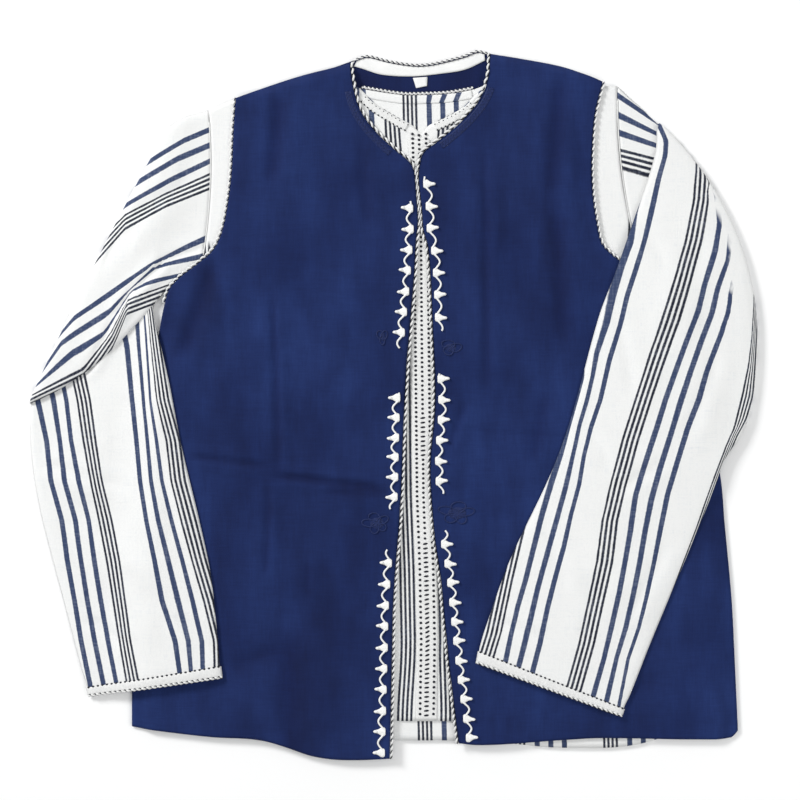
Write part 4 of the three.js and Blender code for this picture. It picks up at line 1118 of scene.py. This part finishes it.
neck_left = curve(SHIRT_TOP_FRONT[5:10], 0)
neck_right = curve(SHIRT_TOP_FRONT[9:14], 0)
neck_back = curve(SHIRT_TOP_BACK[5:10], 0)
BAND_IN = -0.6
BANDS = [("left", neck_left, 0.14, 0.8), ("right", neck_right, 0.22, 0.84)]
places = []
for word, walk, first, last in BANDS:
    rows = along(walk, first, last, 30, BAND_IN - NECK_BAND_WIDTH, BAND_IN)
    ribbon("neck_band_" + word, rows, shirt_front_height, BAND_THICK, "shirt_neck_band_" + word,
           WHITE_RIBBON, 60, 6, 0.4)
    for inset, size in ((1.6, 0.7), (NECK_BAND_WIDTH - 0.6, 1.0)):
        line = along(walk, first, last, 60, BAND_IN - inset, BAND_IN - inset)[:, :2]
        steps, _ = even_walk(np.column_stack([line, np.zeros(len(line))]), DOT_STEP)
        directions = np.gradient(steps, axis=0)
        directions /= np.linalg.norm(directions, axis=1)[:, None]
        for p, d in zip(steps, directions):
            z = float(shirt_front_height(p[0], p[1])) + GAP + 0.62
            places.append((p[0], p[1], z, d[0], d[1], tuple(size * v for v in DOT)))
back_rows = along(neck_back, 0.02, 0.98, 30, BAND_IN - NECK_BAND_WIDTH, BAND_IN)
ribbon("neck_band_back", back_rows, shirt_back_height, BACK_BAND_THICK, "shirt_neck_band_back",
       STRIPED, 60, 6, 0.4,
       lambda x, y: back_phase(x - 0.45 * (y - 335) * smooth(25, 60, x), y))
neck_stitches = dashes("neck_stitches", places)

neck_cord_line = along(neck_back, 0.005, 0.995, 60, 1.7, 1.7)[:, :2]
neck_cord_path = np.column_stack([neck_cord_line, np.full(len(neck_cord_line), NECK_CORD_Z)])
twisted_cord("shirt_neck_cord_twist", neck_cord_path, NECK_CORD_RADIUS, NECK_CORD_LEAD,
             "shirt_neck_cord", STRANDS_ON_NAVY, 1.7)


# Twisted cords of the vest
def lifted(line, height):
    return np.column_stack([line, height(line[:, 1])])


def neck_rise(top):
    return lambda y: lerp(CORD_NECK_Z, CORD_Z, smooth(0, 16, top - y))


def beside_edge(line):
    return normals_of(line) * (CORD_BESIDE - 0.7 * drawn_together(line[:, 1]))[:, None]


def slim_cord(y):
    return 1.0 - 0.4 * drawn_together(y)


left_edge = lifted(left_grid[:, -1] + beside_edge(left_grid[:, -1]), neck_rise(374))
right_edge = lifted(right_grid[:, 0] - beside_edge(right_grid[:, 0]), neck_rise(383))
back_line = curve(CORD_BACK, 0)(np.linspace(0, 1, 50))
back_edge = lifted(back_line, lambda y: np.full(len(y), CORD_NECK_Z))
left_cord = twisted_parts(left_edge[::-1], CORD_RADIUS, (CORD_LEAD, CORD_LEAD_NECK), 1.0, slim_cord)
neck_path = np.concatenate([left_edge[:2][::-1], back_edge, right_edge[:2]])
back_cord = twisted_parts(neck_path, BACK_CORD_RADIUS, BACK_CORD_LEAD, 0.6)
right_cord = twisted_parts(right_edge, CORD_RADIUS, (CORD_LEAD_NECK, CORD_LEAD), 1.0, slim_cord)
points, faces, owner = merge([*left_cord, *back_cord, *right_cord])
make("vest_edge_cord_twist", points, faces, "vest_edge_cord", STRANDS, None,
     [k % 2 for k in owner])


def armhole_line(column, side):
    rows = int(ARMHOLE_SHARE * (len(column) - 1)) + 1
    part = column[:rows]
    path = part + normals_of(part) * side * CORD_BESIDE
    return np.column_stack([path, np.full(rows, ARMHOLE_CORD_Z)])


twisted_cord("armhole_cord_left_twist", armhole_line(left_grid[:, 0], -1), CORD_RADIUS, ARMHOLE_LEAD,
             "vest_armhole_cord_left", STRANDS_ON_NAVY, 1.6)
twisted_cord("armhole_cord_right_twist", armhole_line(right_grid[:, -1], 1), CORD_RADIUS, ARMHOLE_LEAD,
             "vest_armhole_cord_right", STRANDS_ON_NAVY, -1.7)


def braid(name, side, first, last, tufts, near_first, near_last, above, below):
    """A white braid: a sinuous cord with pointed tufts that end in a knob."""
    table = CORD_LEFT if side < 0 else CORD_RIGHT
    walk = curve(table, 1)
    pitch = (last - first) / (tufts - 1)

    def inner_x(y):
        s = np.clip((y - first) / (last - first), 0, 1)
        return walk(share(table, 1, y))[..., 0] + side * (lerp(near_first, near_last, s) + 1.2)

    y = np.arange(first + above - 0.6, last - below + 0.6, -0.8)
    swing = 0.5 - 0.5 * np.cos(2 * math.pi * (y - first) / pitch)
    x = inner_x(y) + side * SPINE_SWING * swing * (0.15 if above < 10 else 1.0) ** (y > first)
    x = x + 0.35 * np.sin(y / 5.3 + first)
    path = np.column_stack([x, y, front_top(side, x, y) + GAP + 0.75])
    parts = [tube(path, SPINE_RADIUS, 7)]
    for k in range(tufts):
        centre_y = first + k * pitch
        base_x = float(inner_x(centre_y))
        tilt = 0.9 * math.sin(2.3 * k + first)
        grid, rise = [], []
        for t in np.linspace(0, 1, 13):
            half = np.interp(t, *TUFT_OUTLINE)
            w = np.linspace(-1, 1, 13)
            reach_x = base_x + side * lerp(-1.3, TUFT_REACH - 1.6, t)
            grid.append(np.column_stack([np.full(13, reach_x), centre_y + tilt * t + w * half]))
            ribs = 0.22 * np.cos(w * 4.5 * math.pi) * (1 - w**2)
            rise.append((1.7 - 0.4 * t) * np.sqrt(np.maximum(0, 1 - w**2)) + 0.2 + ribs)
        grid, rise = np.array(grid), np.array(rise)
        z = front_top(side, grid[..., 0], grid[..., 1]) + GAP
        upper, lower = np.dstack([grid, z + rise]), np.dstack([grid, z])
        if side > 0:
            upper, lower = upper[:, ::-1], lower[:, ::-1]
        p, f = sheet_mesh(upper[::-1], lower[::-1])
        parts.append((p, f.tolist()))
        knob_x = base_x + side * (TUFT_REACH - 1.2)
        knob_z = float(front_top(side, knob_x, centre_y)) + GAP + 1.2
        turn = np.linspace(-1, 1, 7)
        axis = np.column_stack([knob_x + side * turn * KNOB_RADIUS * 1.2, np.full(7, centre_y + tilt),
                                np.full(7, knob_z)])
        girth = KNOB_RADIUS * np.sqrt(np.maximum(0.02, 1 - turn**2)) * 0.85
        parts.append(tube(axis, girth, 9))
    points, faces, _ = merge(parts)
    make(name + "_tufts", points, faces, name, [WHITE_BRAID])


for row in BRAIDS:
    braid(*row)


# Navy braid outside the neckline: strands that cross over one another
def plait(name, walk, first, last, inset, width, side, node):
    line = walk(np.linspace(first, last, 200))
    normal = normals_of(line) * side
    lengths = np.concatenate([[0], np.cumsum(np.linalg.norm(np.diff(line, axis=0), axis=1))])
    parts = []
    for k in range(3):
        angle = 2 * math.pi * (lengths / PLAIT_LEAD + k / 3)
        offset = inset + width / 2 + np.sin(angle) * (width / 2 - 1.0)
        flat = line + normal * offset[:, None]
        z = front_top(side, flat[:, 0], flat[:, 1]) + 0.12 + 0.06 * np.cos(2 * angle)
        parts.append(tube(np.column_stack([flat, z]), PLAIT_RADIUS, 7))
    points, faces, _ = merge(parts)
    edges = along(walk, first, last, 12, *sorted((side * inset, side * (inset + width))))
    ribbon(name + "_base", edges, lambda x, y: front_top(side, x, y) - GAP, 0.3, node,
           NAVY_BRAID, 40, 6, 0.5)
    make(name, points, faces, node, [NAVY_BRAID])


plait("neck_plait_left", curve(CORD_LEFT, 1), 0.035, 0.118, NECK_BRAID_IN, NECK_BRAID_WIDTH, -1,
      "vest_neck_braid_left")
plait("neck_plait_right", curve(CORD_RIGHT, 1), 0.04, 0.12, NECK_BRAID_IN, NECK_BRAID_WIDTH, 1,
      "vest_neck_braid_right")


def knot(name, side, cx, cy, half_x, half_y, lobes, turn):
    """A knot of navy cord, wound round in lobes over a low dome."""
    angle = np.linspace(0, 4 * math.pi, 40 * lobes, endpoint=False)
    reach = 0.58 + 0.40 * np.cos((lobes / 2) * angle)
    x = cx + half_x * reach * np.cos(angle + turn) * (1 + 0.25 * np.sin(angle))
    y = cy + half_y * reach * np.sin(angle + turn)
    z = front_top(side, x, y) + 0.3 + 0.2 * np.sin(lobes * angle)
    path = np.column_stack([x, y, z])
    wound = tube(path, KNOT_CORD_RADIUS, 7, closed=True)
    dome_t = np.linspace(0, 2 * math.pi, 24, endpoint=False)
    rings = []
    for r, h in ((0.5, 0.05), (0.46, 0.25), (0.3, 0.5), (0.05, 0.6)):
        px, py = cx + half_x * r * np.cos(dome_t), cy + half_y * r * np.sin(dome_t)
        rings.append(np.column_stack([px, py, np.full(24, float(front_top(side, cx, cy)) + h)]))
    dome = np.concatenate(rings)
    dome_faces = [[a * 24 + k, a * 24 + (k + 1) % 24, (a + 1) * 24 + (k + 1) % 24, (a + 1) * 24 + k]
                  for a in range(3) for k in range(24)]
    dome_faces += [list(range(24))[::-1], list(range(72, 96))]
    points, faces, _ = merge([wound, (dome, dome_faces)])
    make(name + "_wound", points, faces, name, [NAVY_BRAID])


for row in KNOTS:
    knot(*row)


# Stripes of the sleeves: charted lines of the cloth, each with its place in the repeat
def line_value(table, axis, s):
    """Where a charted line is, at s along x (0) or y (1), going on straight past its ends."""
    points = np.array(table, float)
    points = points[np.argsort(points[:, axis])]
    a, b = points[:, axis], points[:, 1 - axis]
    value = np.interp(s, a, b)
    low_slope = (b[1] - b[0]) / (a[1] - a[0])
    high_slope = (b[-1] - b[-2]) / (a[-1] - a[-2])
    value = np.where(s < a[0], b[0] + np.clip(s - a[0], -60, 0) * low_slope, value)
    return np.where(s > a[-1], b[-1] + np.clip(s - a[-1], 0, 60) * high_slope, value)


def charted_phase(lines, axis, x, y):
    """Place in the repeat at each point, between the charted lines."""
    along_line, across = (x, y) if axis == 0 else (y, x)
    s, c = np.ravel(along_line), -np.ravel(across)
    at = -np.stack([line_value(table, axis, s) for _, table in lines])
    phases = np.array([phase for phase, _ in lines])
    at = np.maximum.accumulate(at + np.arange(len(lines))[:, None] * 1e-3, axis=0)
    result = np.empty(len(c))
    for k in range(len(lines) + 1):
        lo, hi = max(0, k - 1), min(len(lines) - 1, k)
        if lo == hi:
            mask = c <= at[0] if k == 0 else c > at[-1]
            result[mask] = phases[lo] + (c[mask] - at[lo][mask]) / PERIOD
        else:
            mask = (c > at[lo]) & (c <= at[hi])
            t = (c[mask] - at[lo][mask]) / (at[hi][mask] - at[lo][mask])
            result[mask] = lerp(phases[lo], phases[hi], t)
    return result.reshape(np.shape(x))


def left_forearm_phase(x, y):
    lines = [(-phase, [(xs[k], at) for at, xs in LEFT_FOREARM_ROWS]) for k, phase in enumerate(
        [*BLUE, THIN[0], THIN[3], *(b + 1 for b in BLUE), THIN[0] + 1, THIN[3] + 1])]
    return 3 - charted_phase(lines[::-1], 1, x, y)


def left_upper_phase(x, y):
    return charted_phase(LEFT_UPPER_LINES, 0, x, y) + 2


def right_upper_phase(x, y):
    return charted_phase(RIGHT_UPPER_LINES, 0, x, y) + 2


def right_forearm_phase(x, y):
    return charted_phase(RIGHT_FOREARM_LINES, 1, x, y) + 2


def right_forearm_painted_highlight(x, y, phase):
    """Painted highlight: above these heights the blue stripes are painted white, where light washes them out
    at the sleeve's edge.
    """
    top = np.interp(phase - 2, [*BLUE, BLUE[2] + 0.045, BLUE[2] + 0.08], [122, 174, 209, 213, 400])
    return smooth(top - 4, top + 4, y)


# Sleeves
SLEEVE_STEP = 4.0
SLEEVE_COLUMNS = 44
EDGE_ROUND = 9.0
CUFF_LENGTH = 160


def sections_of(table):
    """The table of sections with smooth rows added between its own."""
    rows = np.array(table, float)
    middle = (rows[:, :2] + rows[:, 2:4]) / 2
    reach = np.maximum(np.linalg.norm(np.diff(middle, axis=0), axis=1), 1.6)
    knots = np.concatenate([[0], np.cumsum(reach)])
    at = []
    for k, length in enumerate(reach):
        folded = rows[k, 5] != rows[k + 1, 5]
        count = 4 if folded else max(1, int(round(length / SLEEVE_STEP)))
        at.append(np.linspace(knots[k], knots[k + 1], count, endpoint=False))
    at = np.append(np.concatenate(at), knots[-1])
    fine = hermite(knots, rows, at)
    for column in range(5, 9):
        fine[:, column] = np.interp(at, knots, rows[:, column])
    return fine


def sleeve_point(side, row, u, n, rest, folds, creases):
    """Points of a flattened sleeve at one section, a height n from its middle."""
    ax, ay, bx, by, bow, fold, centre, _, lift = row
    length = math.hypot(bx - ax, by - ay)
    nx, ny = -(by - ay) / length, (bx - ax) / length
    if nx * side < 0:
        nx, ny = -nx, -ny
    under = side < 0
    out = bow * 4 * u * (1 - u)
    x, y = lerp(ax, bx, u) + nx * out, lerp(ay, by, u) + ny * out
    firm, far = (5.8, 1.5) if under else (1.5, 7.6)
    low, radius, turn = min(firm, far), abs(far - firm) / 2, 1 if under else -1
    calm = smooth(0, 0.1, np.minimum(u, 1 - u))
    upper = fold_rise(folds, x, y) + calm * (crease_rise(creases, x, y) + slackness(x, y, 1.6))
    if fold <= 0:
        ground = rest(x, y) * smooth(5.4, 5.8, centre) if under else 0
        return np.stack([x, y, centre + n + ground + np.where((n > 0) & under, upper, 0)], axis=-1)
    ground = rest(x, y) * (1 if under else fold)
    if fold >= 1:
        return np.stack([x, y, centre + ground + lift - n + np.where(n < 0, upper, 0)], axis=-1)
    angle = math.pi * fold
    reach = (radius + turn * n) * math.sin(angle)
    z = low + radius + ground + turn * (radius + turn * n) * math.cos(angle)
    return np.stack([x + nx * reach, y + ny * reach, z], axis=-1)


def thickened(half, edge):
    """Half the thickness of a flattened sleeve, which is rounded towards its edges."""
    return half * (1 - (1 - np.clip(edge / EDGE_ROUND, 0, 1)) ** 2)


def puffed(row, u):
    """Height that a section stands out above its rounded form."""
    return row[7] * np.sin(np.pi * u) ** 0.8


def sleeve_loop(side, row, rest, folds, creases, inset, half):
    """One loop of points round a flattened sleeve."""
    length = math.hypot(row[2] - row[0], row[3] - row[1])
    rim = inset / length
    even = np.linspace(0, 1, SLEEVE_COLUMNS + 1)
    u = lerp(rim, 1 - rim, 0.5 - 0.5 * np.cos(np.pi * even))
    u = lerp(u, np.linspace(rim, 1 - rim, SLEEVE_COLUMNS + 1), 0.55)
    edge = np.minimum(u, 1 - u) * length
    bulge = thickened(half, edge - inset)
    puff = puffed(row, u)
    top, bottom = (bulge + puff, bulge) if row[5] < 1 else (bulge, bulge + puff)
    upper = sleeve_point(side, row, u, top, rest, folds, creases)
    lower = sleeve_point(side, row, u[1:-1][::-1], -bottom[1:-1][::-1], rest, folds, creases)
    return np.concatenate([upper, lower])


def tube_mesh(outer, inner, flip):
    """A body between an outer and an inner skin of loops."""
    rows, n = outer.shape[:2]
    points = np.concatenate([outer.reshape(-1, 3), inner.reshape(-1, 3)])
    i, k = np.meshgrid(np.arange(rows - 1), np.arange(n), indexing="ij")
    i, k = i.ravel(), k.ravel()
    m = (k + 1) % n
    a, b, c, d = i * n + k, i * n + m, (i + 1) * n + m, (i + 1) * n + k
    offset = rows * n
    skins = np.concatenate([np.stack([a, b, c, d], axis=1), np.stack([a, d, c, b], axis=1) + offset])
    k = np.arange(n)
    m = (k + 1) % n
    last = (rows - 1) * n
    rims = np.concatenate([np.stack([k, k + offset, m + offset, m], axis=1),
                           np.stack([last + k, last + m, last + m + offset, last + k + offset], axis=1)])
    faces = np.concatenate([skins, rims])
    row_of = np.concatenate([i, i, np.zeros(n, int), np.full(n, rows - 1)])
    return points, faces[:, ::-1] if flip else faces, row_of


def sleeve(node, side, table, rest, folds, creases, upper_phase, forearm_phase, plain_and_highlight_mask):
    rows = sections_of(table)
    outer = np.array([sleeve_loop(side, row, rest, folds, creases, 0, SLEEVE_HALF) for row in rows])
    inner = np.array([sleeve_loop(side, row, rest, folds, creases, 3, SLEEVE_HALF - CLOTH)
                      for row in rows])
    points, faces, row_of = tube_mesh(outer, inner, side < 0)
    phase_upper = upper_phase(points[:, 0], points[:, 1])
    phase_forearm = forearm_phase(points[:, 0], points[:, 1])
    on_forearm = np.repeat(rows[row_of, 5] >= 0.5, 4)
    corners = faces.ravel()
    phase = np.where(on_forearm, phase_forearm[corners], phase_upper[corners])
    # Where this mask is 1 the stripes turn white; on the right forearm it is a painted highlight.
    plain_and_highlight = plain_and_highlight_mask(points[:, 0], points[:, 1], phase_forearm)[corners] * on_forearm
    return make(node + "_cloth", points, faces.tolist(), node, [STRIPED],
                np.stack([phase, plain_and_highlight], axis=1))


def cuff_rows(table, steps):
    """Sections of the band at a sleeve's end, from its upper edge to the end."""
    end, before = np.array(table[-1], float), np.array(table[-2], float)
    step = math.hypot(end[0] - before[0], end[1] - before[1])
    return [lerp(end, before, t * CUFF_BAND / step) for t in np.linspace(1, 0, steps)]


def wider(row, by):
    length = math.hypot(row[2] - row[0], row[3] - row[1])
    dx, dy = (row[2] - row[0]) / length * by, (row[3] - row[1]) / length * by
    return np.concatenate([[row[0] - dx, row[1] - dy, row[2] + dx, row[3] + dy], row[4:]])


def cuff(name, node, side, table, rest, folds):
    """The band round a sleeve's end, its edging of twisted cord and its row of stitches."""
    rows = cuff_rows(table, 7)
    crown = 1.0 + 0.45 * np.sin(np.linspace(0, math.pi, 7))
    outer = np.array([sleeve_loop(side, wider(r, 1.4), rest, folds, [], 0, SLEEVE_HALF + c)
                      for r, c in zip(rows, crown)])
    inner = np.array([sleeve_loop(side, wider(r, 0.5), rest, folds, [], 0, SLEEVE_HALF + 0.4)
                      for r in rows])
    points, faces, _ = tube_mesh(outer, inner, side < 0)
    band = make(name, points, faces.tolist(), node, [WHITE_RIBBON])
    end = sleeve_loop(side, wider(rows[-1], 0.6), rest, folds, [], 0, SLEEVE_HALF + 0.6)
    out = np.array([rows[-1][0] - rows[0][0], rows[-1][1] - rows[0][1], 0.0])
    rim = np.concatenate([end, end[:1]]) + out / np.linalg.norm(out) * 0.9
    points, faces, owner = merge(twisted_parts(rim, EDGING_RADIUS, EDGING_LEAD, 1.4))
    edging = make(name + "_edging", points, faces, None, STRANDS, None,
                  [k % 2 for k in owner])
    stitch_row = wider(rows[0], 0.8)
    ends = end[0] - end[SLEEVE_COLUMNS]
    count = int(math.hypot(ends[0], ends[1]) / DOT_STEP)
    u = (np.arange(count) + 0.5) / count
    height = thickened(SLEEVE_HALF, np.minimum(u, 1 - u) * CUFF_LENGTH) + 1.0 + puffed(rows[0], u)
    spots = sleeve_point(side, stitch_row, u, -height, rest, folds, [])
    run = stitch_row[2:4] - stitch_row[:2]
    run = run / np.linalg.norm(run)
    places = [(p[0], p[1], p[2] - 0.15, run[0], run[1], CUFF_DASH) for p in spots]
    stitches = dashes(name + "_stitches", places)
    return band, edging, stitches


sleeve_left = sleeve("sleeve_left", -1, SLEEVE_LEFT, rest_left, FOLDS_SLEEVE_LEFT,
                     CREASES_SLEEVE_LEFT, left_upper_phase, left_forearm_phase,
                     lambda x, y, phase: 0 * x)
sleeve_right = sleeve("sleeve_right", 1, SLEEVE_RIGHT, rest_right, FOLDS_SLEEVE_RIGHT,
                      CREASES_SLEEVE_RIGHT, right_upper_phase, right_forearm_phase,
                      right_forearm_painted_highlight)
cuff_left = cuff("cuff_left_band", "sleeve_cuff_left", -1, SLEEVE_LEFT, rest_left, FOLDS_SLEEVE_LEFT)
cuff_right = cuff("cuff_right_band", "sleeve_cuff_right", 1, SLEEVE_RIGHT, rest_right,
                  FOLDS_SLEEVE_RIGHT)


# Rolled seams where the sleeves are set in
for word, side, table, rest in (("left", -1, SLEEVE_LEFT, rest_left),
                                ("right", 1, SLEEVE_RIGHT, rest_right)):
    loop = sleeve_loop(side, np.array(table[0], float), rest, [], [], 0, SLEEVE_HALF)
    path = loop[5:SLEEVE_COLUMNS - 3] + (0, 0, 0.1)
    points, faces = tube(even_walk(path, 3)[0], SEAM_RADIUS, 8)
    make("seam_" + word, points, faces, "sleeve_" + word, [WHITE_RIBBON])


# Flat size and area of each sleeve's cloth, worked out and not used further
def sleeve_cut(table):
    rows = np.array(table, float)
    width = np.hypot(rows[:, 2] - rows[:, 0], rows[:, 3] - rows[:, 1])
    middle = (rows[:, :2] + rows[:, 2:4]) / 2
    step = np.linalg.norm(np.diff(middle, axis=0), axis=1)
    corners = np.stack([rows[:-1, :2], rows[:-1, 2:4], rows[1:, 2:4], rows[1:, :2]], axis=1)
    x, y = corners[..., 0], corners[..., 1]
    strips = np.abs(np.sum(x * np.roll(y, -1, axis=1) - y * np.roll(x, -1, axis=1), axis=1)) / 2
    area = 2 * float(strips.sum()) * MM**2
    size = 2 * float(width.max()) * MM, (float(step.sum()) + 12) * MM
    return size, area


for piece, table, pieces in ((sleeve_left, SLEEVE_LEFT, cuff_left), (sleeve_right, SLEEVE_RIGHT, cuff_right)):
    size, area = sleeve_cut(table)

# Floor, light and camera
FLOOR_SIZE = 6.0
bpy.ops.mesh.primitive_plane_add(size=FLOOR_SIZE, location=(0, 0, -0.0002))
floor = bpy.context.object
floor.name = "floor"
floor_nodes = Nodes("pale_floor", (0.94, 0.94, 0.94), 0.9)
floor_nodes.colour(floor_nodes.ramp(floor_nodes.noise(3.0, floor_nodes.coords.outputs["Object"], 2.0),
                                    [(0.3, (0.935, 0.935, 0.935)), (0.7, (0.95, 0.95, 0.95))]))
floor.data.materials.append(floor_nodes.material)

world = bpy.data.worlds.new("studio")
world.use_nodes = True
world.node_tree.nodes["Background"].inputs["Color"].default_value = (0.99, 1.0, 1.0, 1)
world.node_tree.nodes["Background"].inputs["Strength"].default_value = 0.46
bpy.context.scene.world = world


def area_light(name, place, size, power):
    light = bpy.data.lights.new(name, "AREA")
    light.size = size
    light.energy = power
    lamp = bpy.data.objects.new(name, light)
    lamp.location = place
    lamp.rotation_mode = "QUATERNION"
    direction = -np.array(place, float)
    lamp.rotation_quaternion = Vector(direction).to_track_quat("-Z", "Y")
    bpy.context.collection.objects.link(lamp)


area_light("key", (-2.9, 2.45, 2.1), 1.1, 150)
area_light("top", (0.1, 0.1, 2.6), 1.6, 8.5)
area_light("fill", (1.8, -0.8, 1.9), 1.6, 19)
bpy.context.scene.view_settings.view_transform = "Standard"

VIEW_WIDTH = 0.88
LENS = 100.0
SENSOR = 36.0
VIEW_MIDDLE = (0.00719, 0.00520, 0.006)
camera_data = bpy.data.cameras.new("camera")
camera_data.lens = LENS
camera_data.sensor_width = SENSOR
camera = bpy.data.objects.new("camera", camera_data)
distance = VIEW_WIDTH / 2 / (SENSOR / 2 / LENS)
camera.location = (VIEW_MIDDLE[0], VIEW_MIDDLE[1], distance + VIEW_MIDDLE[2])
bpy.context.collection.objects.link(camera)
bpy.context.scene.camera = camera
